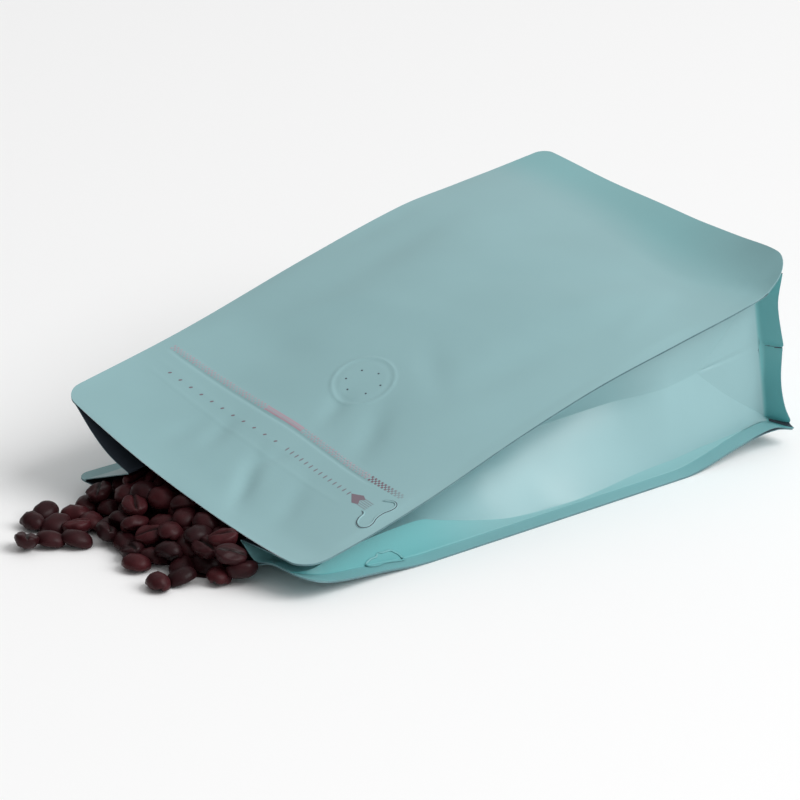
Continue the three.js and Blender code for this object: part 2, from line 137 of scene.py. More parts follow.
def along(stations, v):  # a smooth curve through a few stations
    at = np.array(stations, float)
    last = len(at) - 1
    before = np.maximum(np.arange(last + 1) - 1, 0)
    after = np.minimum(np.arange(last + 1) + 1, last)
    slope = (at[after, 1] - at[before, 1]) / (at[after, 0] - at[before, 0])
    v = np.clip(np.asarray(v, float), at[0, 0], at[last, 0])
    i = np.clip(np.searchsorted(at[:, 0], v, side="left") - 1, 0, last - 1)
    span = at[i + 1, 0] - at[i, 0]
    u = (v - at[i, 0]) / span
    return ((2 * u ** 3 - 3 * u * u + 1) * at[i, 1] + (u ** 3 - 2 * u * u + u) * slope[i] * span
            + (3 * u * u - 2 * u ** 3) * at[i + 1, 1] + (u ** 3 - u * u) * slope[i + 1] * span)


def bump(x, v, spot):  # a soft rise or dent, stretched along a direction
    spotX, spotV, long, wide, turn, rise = spot
    turn = math.radians(turn)
    dx, dv = x - spotX, v - spotV
    a = (dx * math.cos(turn) + dv * math.sin(turn)) / long
    b = (dv * math.cos(turn) - dx * math.sin(turn)) / wide
    return rise * np.exp(-a * a - b * b)


def merged(*steps):  # sorted grid lines without near repeats
    lines = np.sort(np.concatenate(steps))
    return lines[np.concatenate([[True], np.diff(lines) > 0.05])]


# ---- the pouch's form, in millimetres: v runs from the mouth (0) to the end seal (212) ----

pouch = {
    "width": 130, "sideSeal": 7, "length": 204, "endSeal": 8, "corner": 6.5,
    "film": 0.3,  # the laminate, drawn thick enough for its cut edge to show
    "apart": 0.03,  # between two sheets of a seal
    "cadFilm": 0.6,  # wall of the CAD solid, which the beans keep clear of
    "restAt": 105,  # from the mouth to the origin
    "gap": 0.35,  # room between a bean and the solid's film
    "steepOver": (196, 206), "steepMore": 0.55,  # sheets of the end seal stand further apart, measured upright
}
half = pouch["width"] / 2
root = half - pouch["sideSeal"]
end = pouch["length"] + pouch["endSeal"]

frontEdge = {
    -1: [[0, 35.5], [50, 45], [105, 58.5], [146, 67.3], [169, 69.5], [212, 73]],
    1: [[0, 13.3], [12, 13.6], [49, 21.8], [92, 34.6], [127, 43.6], [162, 50], [196, 56.3], [212, 62]],
}
backEdge = {
    -1: [[0, 6.8], [20, 5.4], [45, 2.2], [70, 0], [165, 0], [190, 5], [212, 8]],
    1: [[0, 9.3], [12, 5.2], [30, 2.6], [55, 0], [165, 0], [190, 5], [204, 7.4], [212, 5.5]],
}
frontCrown = [[0, -4.6], [40, -1], [100, 4], [150, 4], [204, 1], [212, 0.5]]
gusset = {
    "half": {-1: 30, 1: 25.5},  # film from a side seal to the crease
    "creaseShare": {-1: 0.5, 1: 0.57},
    "flatFrom": 176, "foldFrom": 128,
}


def frontBase(x, v):
    s = x / half
    return (along(frontEdge[-1], v) * (1 - s) / 2 + along(frontEdge[1], v) * (1 + s) / 2
            + along(frontCrown, v) * (1 - s * s))


def backZ(x, v):
    lift = np.where(x < 0, along(backEdge[-1], v), along(backEdge[1], v))
    return np.maximum(lift, 0) * ease(0.34, 0.8, np.abs(x) / half)


def tip(v, last=None):  # half width of a panel, drawn in over its rounded corners
    first = pouch["corner"]
    last = first if last is None else last
    rise = np.where(v < end / 2, first - np.minimum(v, first), last - np.minimum(end - v, last))
    r = np.where(v < end / 2, first, last)
    return half - r + np.sqrt(np.maximum(r ** 2 - rise ** 2, 0))


endTurn = {  # how the end seal is turned up
    "rise": [[-65, 0.4], [-35, 0.8], [-4, 1.7], [14, 2.5], [28, 3.7], [41, 4.8], [56, 6.2], [65, 5.4]],  # x and height
    "from": 187, "later": 14, "laterOver": (34, 65),  # v where it starts, and how much later it does at the right
    "curve": 1.15,
}


def frontForm(x, v):
    start = endTurn["from"] + endTurn["later"] * ease(*endTurn["laterOver"], np.asarray(x))
    return frontBase(x, v) + along(endTurn["rise"], x) * np.clip((v - start) / (end - start), 0, 1) ** endTurn["curve"]


backPull = [  # corners of the back panel drawn along: reach in x and v, and the shift
    {"side": -1, "from": 0.3, "v": (55, 0), "shift": (3.7, 0.3, -1.1)},
    {"side": 1, "from": 0.6, "v": (40, 0), "shift": (1.3, 0, -0.3)},
    {"side": 1, "from": 0.72, "v": (192, 212), "shift": (2.0, 1.2, 0)},
]


def backPoint(x, v):
    z = backZ(x, v)
    dx, dv = 0, 0
    for pull in backPull:
        w = ease(pull["from"], 1, pull["side"] * x / half) * ease(*pull["v"], v)
        dx, dv, z = dx + pull["shift"][0] * w, dv + pull["shift"][1] * w, z + pull["shift"][2] * w
    return x + dx, v + dv, z


def skin(v):  # two sheets of film measured upright, more where the end seal is steep
    return (2 * pouch["film"] + pouch["apart"]) * (1 + pouch["steepMore"] * ease(*pouch["steepOver"], v))


def place(x, v, z):
    return np.stack(np.broadcast_arrays(x, v - pouch["restAt"], z), -1)


# ---- relief of the front panel ----

relief = {
    "valveX": 5, "valveV": 73.6, "ring": 10.7, "ringRib": 0.6, "ringRise": 0.2, "disc": 8.6, "discRise": 0.07,
    "band": [[-60, 42.5], [-11, 45.3], [6, 46.4], [43, 46.4], [60, 47.4]],  # line of the zip and its printed band
    "groove": -1.9, "grooveDeep": 0.27, "grooveWide": 0.6, "grooveFrom": -57, "grooveTo": 44,
    "rib": 0.1, "ribRise": 0.1, "ribWide": 1.1,
    "ridges": [[31, 0.06, 0.9], [36.2, 0.04, 1.2]], "ridgeSlant": 0.016,  # faint lines of the zip: v, rise, half width
    # slow waves of the film: radians for each mm in x and in v, shift, rise
    "waves": [[0.11, 0.034, 0.6, 0.18], [0.045, -0.10, 2.1, 0.15], [0.016, 0.061, 4.0, 0.25]],
}
dents = [  # x, v, half length, half width, turn in degrees, rise
    [12, 18, 12, 3.4, 128, -1.25], [-15, 28, 8, 3, 105, -0.7], [-24, 20, 9, 4, 80, -0.5], [32, 22, 10, 3.5, 120, -0.6],
    [9, 31, 7, 3, 60, -0.4], [26, 60, 12, 4.5, 120, -0.95], [7, 60, 7, 4, 110, -0.7], [-30, 66, 14, 7, 30, -0.5],
    [-36, 90, 16, 6, 60, 0.5], [20, 92, 12, 5, 150, -0.5], [-8, 106, 22, 8, 20, 0.5], [38, 112, 24, 8, 80, -0.8],
    [-44, 128, 26, 7, 95, -0.5], [34, 158, 20, 9, 75, 0.8], [8, 150, 26, 9, 50, -0.45],
]
folds = [  # shallow creases pressed into the film: two ends in x and v, depth, width
    {"ends": [[26, 176], [46, 181.6]], "rise": -0.25, "wide": 3},
    {"ends": [[50, 150], [43, 172]], "rise": 0.3, "wide": 3.5},
]


def crease(x, v, fold):
    (x0, v0), (x1, v1) = fold["ends"]
    dx, dv = x1 - x0, v1 - v0
    share = np.clip(((x - x0) * dx + (v - v0) * dv) / (dx * dx + dv * dv), 0, 1)
    away = np.hypot(x - x0 - share * dx, v - v0 - share * dv)
    return fold["rise"] * np.exp(-away / fold["wide"])


def frontRelief(x, v):
    r = relief
    away = np.hypot(x - r["valveX"], v - r["valveV"])
    z = r["ringRise"] * np.exp(-((away - r["ring"]) / r["ringRib"]) ** 2)
    z = z + r["discRise"] * (1 - ease(r["disc"] - 0.8, r["disc"] + 0.3, away))
    band = v - along(r["band"], x)
    zipped = ease(r["grooveFrom"] - 3, r["grooveFrom"] + 3, x) * (1 - ease(r["grooveTo"] - 4, r["grooveTo"] + 2, x))
    z = z - r["grooveDeep"] * zipped * np.exp(-((band - r["groove"]) / r["grooveWide"]) ** 2)
    z = z + r["ribRise"] * zipped * np.exp(-((band - r["rib"]) / r["ribWide"]) ** 2)
    for at, rise, wide in r["ridges"]:
        z = z + rise * zipped * np.exp(-((v - at - r["ridgeSlant"] * x) / wide) ** 2)
    for fx, fv, shift, rise in r["waves"]:
        z = z + rise * np.sin(fx * x + fv * v + shift)
    for spot in dents:
        z = z + bump(x, v, spot)
    for fold in folds:
        z = z + crease(x, v, fold)
    return z * ease(0, 5, half - np.abs(x)) * ease(0, 4, v + 1.5)


def frontZ(x, v):
    return frontForm(x, v) + frontRelief(x, v)


# ---- film pieces: each sheet of laminate is a closed shell ----

def onBothFaces(values):
    return np.tile(values.ravel(), 2).astype(np.float32)


# outer is a grid of points in mm, up points out of it, and creases are columns that stay sharp
def makeShell(name, outer, thickness, up, sealed=None, creases=()):
    rows, columns = outer.shape[:2]
    across = np.gradient(outer, axis=1)
    down = np.gradient(outer, axis=0)
    normal = np.cross(across, down)
    length = np.linalg.norm(normal, axis=-1, keepdims=True)
    normal = normal / np.maximum(length, 1e-9)
    flip = np.sum(normal[rows // 2, columns // 2] * np.array(up)) < 0
    if flip:
        normal = -normal
    inner = outer - normal * thickness
    points = np.concatenate([outer.reshape(-1, 3), inner.reshape(-1, 3)]) * mm
    n = rows * columns
    index = np.arange(n).reshape(rows, columns)
    a, b, c, d = (q.ravel() for q in (index[:-1, :-1], index[:-1, 1:], index[1:, 1:], index[1:, :-1]))
    top = np.stack([a, d, c, b] if flip else [a, b, c, d], 1)
    low = top[:, ::-1] + n
    loop = np.concatenate([index[0, :-1], index[:-1, -1], index[-1, :0:-1], index[:0:-1, 0]])
    after = np.roll(loop, -1)
    rim = np.stack([loop, loop + n, after + n, after], 1)
    if flip:
        rim = rim[:, ::-1]
    faces = np.concatenate([top, low, rim])
    mesh = bpy.data.meshes.new(name)
    mesh.from_pydata(points.tolist(), [], faces.tolist())
    mesh.polygons.foreach_set("material_index", np.repeat([0, 1, 2], [len(top), len(low), len(rim)]))
    mesh.polygons.foreach_set("use_smooth", np.ones(len(faces), bool))
    mesh.update()
    ends = np.empty(len(mesh.edges) * 2, int)
    mesh.edges.foreach_get("vertices", ends)
    onRim = np.zeros(2 * n, bool)
    onRim[np.concatenate([loop, loop + n])] = True
    ends = ends.reshape(-1, 2)
    sharp = onRim[ends].all(1) & ((ends[:, 0] < n) == (ends[:, 1] < n))
    for column in creases:
        sharp |= (ends % columns == column).all(1) & (ends < n).all(1)
    setValues(mesh, "sharp_edge", "BOOLEAN", "EDGE", sharp)
    # a share of painted shade for each point, a deeper teal that stands in for the shade of folds and overhangs
    if sealed is not None:
        setValues(mesh, "sealed", "FLOAT", "POINT", onBothFaces(sealed))
    return newObject(name, mesh)


def cornerSteps():  # rows that follow the round corners at both ends
    turn = np.linspace(0, math.pi / 2, 9)
    first = pouch["corner"] * (1 - np.cos(turn))
    return np.concatenate([first, end - first])


def panelColumns(x, v, last=None):  # columns beyond the root are drawn in over the corners
    inner = root - 3
    share = (tip(v, last) - inner) / (half - inner)
    return np.where(np.abs(x) > inner, np.sign(x) * (inner + (np.abs(x) - inner) * share), x)


frontGrid = {
    "coarse": 2.4, "ring": 0.55, "band": 0.55, "tab": 0.45,  # mm between grid lines
    "leftCorner": 4.5, "endShade": 0.42, "endShadeOver": (184, 204), "mouthEdge": 1.7,
}


def makeFrontPanel():
    g = frontGrid
    x = merged(np.arange(-half, half + 0.01, g["coarse"]), np.arange(-8, 17.5, g["ring"]),
               np.arange(52, 62.5, g["tab"]), [-half, half])
    v = merged(cornerSteps(), np.arange(7.5, end - 7, g["coarse"]), np.arange(29, 46.5, g["band"]),
               np.arange(61, 87.5, g["ring"]))
    vv, xx = np.meshgrid(v, x, indexing="ij")
    xx = panelColumns(xx, vv, np.where(xx < 0, g["leftCorner"], pouch["corner"]))
    # painted shade: the film is darkened towards the end seal, less so towards the right
    sealed = g["endShade"] * ease(*g["endShadeOver"], vv + 3 * np.sin(xx * 0.05)) * (1 - 0.6 * ease(10, 60, xx))
    piece = makeShell("frontPanel", place(xx, vv, frontZ(xx, vv)), pouch["film"], (0, 0, 1), sealed)
    # the cut edge is dark, but pale along the mouth as a painted highlight, and lost in the film beside the end seal
    tone = g["mouthEdge"] * (1 - ease(0.5, 3, vv)) * (1 - ease(52, 60, np.abs(xx)))
    setValues(piece.data, "edgeTone", "FLOAT", "POINT", onBothFaces(tone + ease(190, 197, vv) * ease(56, 62, xx)))
    return piece


backCorner = 2.5  # the back panel's end corners are left almost square


def makeBackPanel():
    x = merged(np.linspace(-half, half, 61), np.linspace(-half, -20, 40), np.linspace(20, half, 40))
    v = merged(cornerSteps(), np.linspace(7.5, end - 7.5, 80))
    vv, xx = np.meshgrid(v, x, indexing="ij")
    xx = panelColumns(xx, vv, backCorner)
    px, pv, pz = backPoint(xx, vv)
    return makeShell("backPanel", place(px, pv, pz), pouch["film"], (0, 0, -1))


gussetLook = {  # -1 is the left side and 1 the right one; rows hold v and a value
    "half": {  # film from seal to crease
        -1: [[0, 31.5], [60, 30], [98, 30], [110, 30.7], [122, 31.7], [134, 32.8], [150, 34], [212, 34]],
        1: [[0, 25], [60, 25.6], [212, 25.6]],
    },
    "share": {  # height of the crease between the two seals
        -1: [[0, 0.4], [70, 0.5], [212, 0.5]],
        1: [[0, 0.86], [45, 0.6], [100, 0.57], [212, 0.56]],
    },
    "apex": {-1: 150, 1: 179},  # where the crease meets the two corner folds
    "push": {-1: 3.0, 1: 4.0},  # how far in that point is
    "runOut": (34, 4),  # the fold runs out between these distances from it
    "fold": 0.12,  # half width of the rounded crease
    "triangle": 0.985,  # share of the height that the end triangle takes up
    "sagUpper": {-1: [[0, -2.9], [60, 0], [212, 0]], 1: [[0, 0.3], [40, -0.4], [120, 0], [212, 0]]},
    "sagLower": {-1: [[0, 0], [212, 0]], 1: [[0, -1.2], [45, -0.6], [100, 0], [212, 0]]},
    "wall": {  # the film stands up from the back seal by this before it leans in
        -1: [[0, 0.6], [60, 2], [212, 3]],
        1: [[0, 1.2], [12, 3.6], [30, 7], [46, 9.4], [57, 9.8], [65, 7.8], [81, 4], [96, 1.6], [126, 0.8], [151, 2.7],
            [170, 3.2], [186, 1.8], [206, 0.9]],
    },
    "wallLean": 0.3,
    "settled": {-1: [[0, 0], [212, 0]], 1: [[0, 0.93], [7, 0.65], [19, 0], [212, 0]]},  # lies down on the back panel
    "liftedFrom": 150,  # from here on the lower seal follows the back panel's lifted edge
    "steps": [4, 22, 40, 17, 9, 4],  # spans across: seal, upper facet, crease, lower facet, wall, seal
    "lean": {-1: (0, 0), 1: (-2.1, 3.6)},  # shift in v of the fold at the end seal: at its top, at its foot
    # outer edge of the flared end seal over its height, from the foot: x and v
    "outerX": {
        -1: [[0, 64.6], [1, 64.6]],
        1: [[0, 66.8], [0.12, 65.4], [0.3, 64.8], [0.49, 64.7], [0.53, 65.5], [0.62, 65.1], [1, 64.6]],
    },
    "outerV": {
        -1: [[0, 208.5], [1, 208.5]],
        1: [[0, 212.6], [0.12, 209.6], [0.3, 208], [0.5, 208.5], [0.58, 208.1], [0.85, 206.4], [1, 208.6]],
    },
    "flareSteps": 10,
    # the crease's line across the end seal
    "foldLine": 0.56, "foldLineFalls": 0.04, "foldLineWide": 0.009, "foldStep": 0.6,
    # the dark lining is put along the fold line as painted shade, this many mm either side
    "foldGroove": 0.7, "foldShade": 0.14,
    "stepIn": 0.6, "stepAlong": 0.8,  # the way that the step in it goes
    "creaseLine": 0.35, "creaseLineWide": 0.55,  # depth and half width of the crease's line in the end triangle
    # gap at the foot of the end seal: depth, then height of its middle, half width and height of the part painted dark
    # as shade
    "footGap": 1.6, "footAt": 0.02, "footWide": 0.016, "footShade": 1.7,
    "mouthShade": 0.45, "lowerShade": 0.4, "wallShade": 1.0, "flangeShade": 0.45,  # share of the painted shade colour
}


def foldDepth(side, v, top, low):  # how far in the crease is, from the length of film on each side of it
    look = gussetLook
    film = along(look["half"][side], v)
    free = np.sqrt(np.maximum(film ** 2 - ((top - low) / 2) ** 2, 0) + look["push"][side] ** 2)
    apex, push = look["apex"][side], look["push"][side]
    run = np.clip((pouch["length"] - v) / (pouch["length"] - apex), 0, 1)
    far, near = look["runOut"]
    return (free + (push - free) * ease(apex - far, apex - near, v)) * run


def spread(steps):  # shares that crowd towards both ends of a facet, so that its creases stay crisp
    return (1 - np.cos(np.linspace(0, math.pi, steps + 1)[:-1])) / 2


# x outwards, v and z of the gusset's outward face, from the front seal to the back seal
def gussetSection(side, v):
    look = gussetLook
    outer = float(tip(v)) - 0.03
    lowOuter = float(tip(v, backCorner)) - 0.03
    topPoints = [np.array([outer, v, float(frontZ(side * outer, v) - skin(v))]),
                 np.array([root, v, float(frontZ(side * root, v) - skin(v))])]
    lowPoints = []
    for x in (root, lowOuter):
        px, pv, pz = backPoint(np.float64(side * x), v)
        lowPoints.append(np.array([side * px, pv, pz + skin(v)]))
    top, low = topPoints[1][2], lowPoints[0][2]
    depth = float(foldDepth(side, v, top, low))
    centre = low + float(along(look["share"][side], v)) * (top - low)
    past = np.clip((v - look["apex"][side]) / (pouch["length"] - look["apex"][side]), 0, 1)
    upper = max(look["fold"], past * (top - centre) * look["triangle"])
    lower = max(look["fold"], past * (centre - low) * look["triangle"])
    wall = float(along(look["wall"][side], v)) * (1 - past)
    creaseTop = np.array([root - depth, v, centre + upper])
    creaseLow = np.array([root - depth, v, centre - lower])
    knee = lowPoints[0] + np.array([-look["wallLean"] * wall, 0, wall])

    def strip(start, stop, steps, sag=None):
        share = spread(steps)[:, None]
        facet = start + (stop - start) * share
        if sag:
            facet[:, 2] += float(along(sag[side], v)) * np.sin(math.pi * share[:, 0]) * (1 - past)
        return facet

    steps = look["steps"]
    share = spread(steps[2] // 2)[:, None] / 2
    line = creaseTop + (creaseLow - creaseTop) * np.concatenate([share, share + 0.5])
    nearLine = np.exp(-((line[:, 2] - centre) / look["creaseLineWide"]) ** 2)
    line[:, 0] -= look["creaseLine"] * ease(0, 0.15, past) * nearLine
    share = np.append(spread(steps[5]), 1)[:, None]
    points = np.concatenate([
        strip(topPoints[0], topPoints[1], steps[0]),
        strip(topPoints[1], creaseTop, steps[1], look["sagUpper"]),
        line,
        strip(creaseLow, knee, steps[3], look["sagLower"]),
        strip(knee, lowPoints[0], steps[4]),
        lowPoints[0] + (lowPoints[1] - lowPoints[0]) * share,
    ])
    height = np.clip((points[:, 2] - low) / (top - low), 0, 1)
    leanTop, leanLow = look["lean"][side]
    points[:, 1] += (leanTop * height + leanLow * (1 - height)) * ease(184, pouch["length"], v)
    first, last = steps[0] + 1, len(points) - steps[-1] - 1
    points[:first, 2] = frontZ(side * points[:first, 0], points[:first, 1]) - skin(points[:first, 1])
    if v > look["liftedFrom"]:
        points[last:, 2] = backPoint(side * points[last:, 0], points[last:, 1])[2] + skin(points[last:, 1])
    # between the seals the film stays inside the two panels
    between = slice(first, last)
    x = side * points[between, 0]
    floor = backPoint(x, points[between, 1])[2] + skin(v)
    ceiling = frontZ(x, points[between, 1]) - skin(v)
    inwards = np.clip((points[between, 0] - root + depth) / depth, 0, 1)
    settled = along(look["settled"][side], v) * ease(0, 0.4, inwards)
    settled *= np.arange(len(points))[between] > sum(steps[:3])
    points[between, 2] = np.clip(points[between, 2] + (floor - points[between, 2]) * settled, floor, ceiling)
    return points


gussetSpots = [  # dents and pinches of the right gusset: share across it, v, half width, half length, rise
    [0.72, 92, 0.06, 5, 0.9], [0.80, 112, 0.05, 9, -0.9], [0.70, 128, 0.06, 16, 0.6], [0.74, 66, 0.06, 12, 0.7],
    [0.2, 150, 0.08, 16, -0.5],
]


def makeGusset(side, name):
    look = gussetLook
    v = merged(cornerSteps()[:9], np.linspace(7.5, 172, 90), np.linspace(173, 203.9, 30))
    grid = np.array([gussetSection(side, float(at)) for at in v])
    column = np.arange(grid.shape[1])
    ss, vv = np.meshgrid(np.linspace(0, 1, grid.shape[1]), v)
    first, last = look["steps"][0], grid.shape[1] - 1 - look["steps"][-1]
    out = np.zeros_like(ss)
    if side > 0:
        for share, at, wide, long, rise in gussetSpots:
            out += np.exp(-((ss - share) / wide) ** 2 - ((vv - at) / long) ** 2) * rise
    crease = sum(look["steps"][:2]) + look["steps"][2] / 2
    fromCrease = np.abs(column - crease) - look["steps"][2] / 2
    inside = ease(0.06, 0.14, ss) * (1 - ease(0.86, 0.94, ss)) * ease(0, 6, fromCrease)
    for axis in (0, 2):  # the film faces half outwards and half up
        grid[:, :, axis] += out * inside * 0.6
    # past the bottom sheet the gusset's end seal flares out sideways
    edge = grid[-1].copy()
    height = np.clip((edge[:, 2] - edge[last, 2]) / (edge[first, 2] - edge[last, 2]), 0, 1)
    flare = []
    for w in np.linspace(0, 1, look["flareSteps"] + 1)[1:]:
        row = edge.copy()
        row[:, 0] += (along(look["outerX"][side], height) - edge[:, 0]) * w
        row[:, 1] += (along(look["outerV"][side], height) - edge[:, 1]) * w
        topZ = frontZ(side * row[:, 0], row[:, 1]) - skin(row[:, 1])
        lowZ = backPoint(side * np.minimum(row[:, 0], half), np.minimum(row[:, 1], end))[2] + skin(row[:, 1])
        row[:, 2] = lowZ + (topZ - lowZ) * height
        if side > 0:
            fold = look["foldLine"] - look["foldLineFalls"] * w
            step = look["foldStep"] * (1 - ease(fold - look["foldLineWide"], fold, height)) * ease(0.25, 0.45, height)
            groove = look["foldGroove"] * np.exp(-((height - fold) / look["foldLineWide"]) ** 2) * ease(0.1, 0.4, w)
            gap = look["footGap"] * np.exp(-((height - look["footAt"]) / look["footWide"]) ** 2)
            row[:, 0] -= look["stepIn"] * step + gap + groove
            row[:, 1] += look["stepAlong"] * step
        outer = np.array([min(float(tip(row[first, 1])) - 0.03, 64.9), row[first, 1], 0])
        for j in range(first):
            row[j] = outer + (row[first] - outer) * j / first
            row[j, 2] = float(frontZ(side * row[j, 0], row[j, 1]) - skin(row[j, 1]))
        lowOuter = row[last] + np.array([max(half + 1.6 - row[last, 0], 0.05), 0.1, 0])
        for j in range(last + 1, len(row)):
            row[j] = row[last] + (lowOuter - row[last]) * (j - last) / (len(row) - 1 - last)
        flare.append(row)
    # painted shade: a deeper teal where the film lies in the shade of its fold and of the front panel, strongest on
    # the wall and seal near the mouth and full on the flared end seal
    upper = sum(look["steps"][:2])
    knee = sum(look["steps"][:4])
    shadeShare = look["lowerShade"] * ease(knee - 1, knee, column) + 0 * vv
    if side > 0:
        nearMouth = 1 - ease(50, 95, vv)
        shadeShare += (look["wallShade"] - look["lowerShade"]) * nearMouth * ease(knee - 1, knee, column) * (column <= last)
        shadeShare += (look["flangeShade"] - look["lowerShade"]) * nearMouth * (column > last)
        shadeShare = np.maximum(shadeShare, look["mouthShade"] * (1 - ease(5, 40, vv)))
    sealed = np.ones((len(grid) + len(flare), grid.shape[1]))
    sealed[:len(grid)] = np.maximum(shadeShare, ease(203, 203.9, vv))
    grid = np.concatenate([grid, np.array(flare)])
    piece = makeShell(name, place(side * grid[:, :, 0], grid[:, :, 1], grid[:, :, 2]), pouch["film"],
                      (side, 0, 0), sealed, (upper, upper + look["steps"][2], knee))
    # the bottom sheet is welded to the inside of the end seal; the dark lining is put on the outer face as painted
    # shade in the gap at its foot and along the fold line
    width, layer = grid.shape[1] - 1, (len(grid) - 1) * (grid.shape[1] - 1)
    for k in range(len(flare)):
        foot = flare[k][last, 2] + look["footShade"] * (1 + k / len(flare)) / 2
        fold = look["foldLine"] - look["foldLineFalls"] * (k + 0.5) / len(flare)
        foldAt = flare[k][last, 2] + (flare[k][first, 2] - flare[k][last, 2]) * fold
        for j in range(width):
            face = (len(v) - 1 + k) * width + j
            piece.data.polygons[face + layer].material_index = 0
            middle = (flare[k][j, 2] + flare[k][j + 1, 2]) / 2
            inFold = k > 1 and abs(middle - foldAt) < look["foldShade"]
            if side > 0 and upper < j < last and (middle < foot or inFold):
                piece.data.polygons[face].material_index = 1
    return piece


bottomSheet = {
    "dip": 2.5, "columns": 76, "steps": [6, 24, 24, 6], "fold": 0.5, "foldWide": 0.9, "foldHeight": 0.52, "slack": 0.3,
}


def makeBottom():
    b = bottomSheet
    rows = []
    for x in np.linspace(-root + 0.1, root - 0.1, b["columns"]):
        side = 1 if x > 0 else -1
        leanTop, leanLow = gussetLook["lean"][side]
        near = ease(0.4, 1, abs(x) / root)
        flange = end - 0.3 - 0.8 * ease(50, 58, abs(x))
        length = pouch["length"]
        topV, lowV = length + leanTop * near, length + leanLow * near
        topEdge = float(frontZ(x, flange) - skin(flange))
        top = float(frontZ(x, topV) - skin(topV))
        low = float(backZ(x, lowV) + skin(lowV))
        lowEdge = float(backZ(x, flange) + skin(flange))
        dip = b["dip"] * (1 - (x / root) ** 2)
        keys = [(flange, topEdge), (topV, top), ((topV + lowV) / 2 - dip, low + b["foldHeight"] * (top - low)),
                (lowV, low), (flange, lowEdge)]
        row = []
        for k, steps in enumerate(b["steps"]):
            share = spread(steps)[:, None]
            row.extend((np.array(keys[k]) * (1 - share) + np.array(keys[k + 1]) * share).tolist())
        row = np.array(row + [list(keys[-1])])
        middle = keys[2][1]
        within = np.clip(np.minimum(row[:, 1] - low, top - row[:, 1]) / 6, 0, 1) * (row[:, 0] < length + 4)
        uneven = np.sin(0.13 * x + 0.21 * row[:, 1]) * np.sin(0.07 * x - 0.12 * row[:, 1] + 1)
        row[:, 0] -= within * (b["fold"] * np.exp(-np.abs(row[:, 1] - middle) / b["foldWide"]) + b["slack"] * uneven)
        flanges = b["steps"][0], len(row) - 1 - b["steps"][-1]
        row[:flanges[0], 1] = frontZ(x, row[:flanges[0], 0]) - skin(row[:flanges[0], 0])
        row[flanges[1]:, 1] = backPoint(x, row[flanges[1]:, 0])[2] + skin(row[flanges[1]:, 0])
        rows.append([[x, p[0] - pouch["restAt"], p[1]] for p in row])
    return makeShell("bottomSheet", np.array(rows), pouch["film"], (0, 1, 0))


# ---- materials of the film ----

filmLook = {
    # the deeper teal below is painted shade, for film lying in the shade of folds and overhangs
    "colour": "#88AEB2", "shade": "#81A6AA", "sealed": "#59A0A3", "lining": "#39424C",
    "edge": "#4C6F76", "edgePale": "#6C9095", "edgeLit": "#DCE9F2",
    "roughness": 0.44, "ior": 1.62, "cloud": 26, "grain": 1.4,  # mm across slow clouds and the matt varnish's grain
}


# matt-varnished printed laminate: soft broad highlights over blue-green, and a deeper teal painted as shade where the
# film lies in the shade of folds and overhangs
def matteFilm():
    material, tree = newMaterial("matteVarnishedLaminate")
    cloud = noise(tree, filmLook["cloud"], 3.0)
    colour = blend(tree, cloud, filmLook["shade"], filmLook["colour"])
    rough = remap(tree, cloud, filmLook["roughness"] - 0.04, filmLook["roughness"] + 0.05)
    return finished(material, tree, {"Base Color": blend(tree, attribute(tree, "sealed"), colour, filmLook["sealed"]),
                                     "Roughness": rough, "IOR": filmLook["ior"],
                                     "Normal": ripples(tree, noise(tree, filmLook["grain"], 2.0), 0.12, 0.06)})


def darkLining():  # polyethylene sealing layer over a dark barrier film: smooth, with a low sheen
    material, tree = newMaterial("darkSealLayer")
    return finished(material, tree, {"Base Color": linear(filmLook["lining"]), "Roughness": 0.42, "IOR": 1.5,
                                     "Normal": ripples(tree, noise(tree, 9, 2.0), 0.15, 0.4)})


def cutEdge():  # the knife-cut edge shows the layers as one dull line: dark, or pale where it faces the light
    material, tree = newMaterial("cutLaminateEdge")
    tone = attribute(tree, "edgeTone")  # 0 is the cut layers, 1 the film's own colour, 2 a lit edge
    layers = blend(tree, noise(tree, 5, 1.0), filmLook["edge"], filmLook["edgePale"])
    fused = blend(tree, tone, layers, filmLook["shade"])
    lit = blend(tree, remap(tree, tone, 0.0, 1.0, 1.0, 2.0), fused, filmLook["edgeLit"])
    return finished(material, tree, {"Base Color": lit, "Roughness": 0.6})


filmMaterials = [matteFilm(), darkLining(), cutEdge()]
filmPieces = [makeFrontPanel(), makeBackPanel(), makeGusset(1, "rightGusset"), makeGusset(-1, "leftGusset"),
              makeBottom()]
for piece in filmPieces:
    for material in filmMaterials:
        piece.data.materials.append(material)
    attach(piece, "root")
    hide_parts("pouch")
print("film pieces made")


# ---- instancing: points with a turn and a kind become plain meshes ----

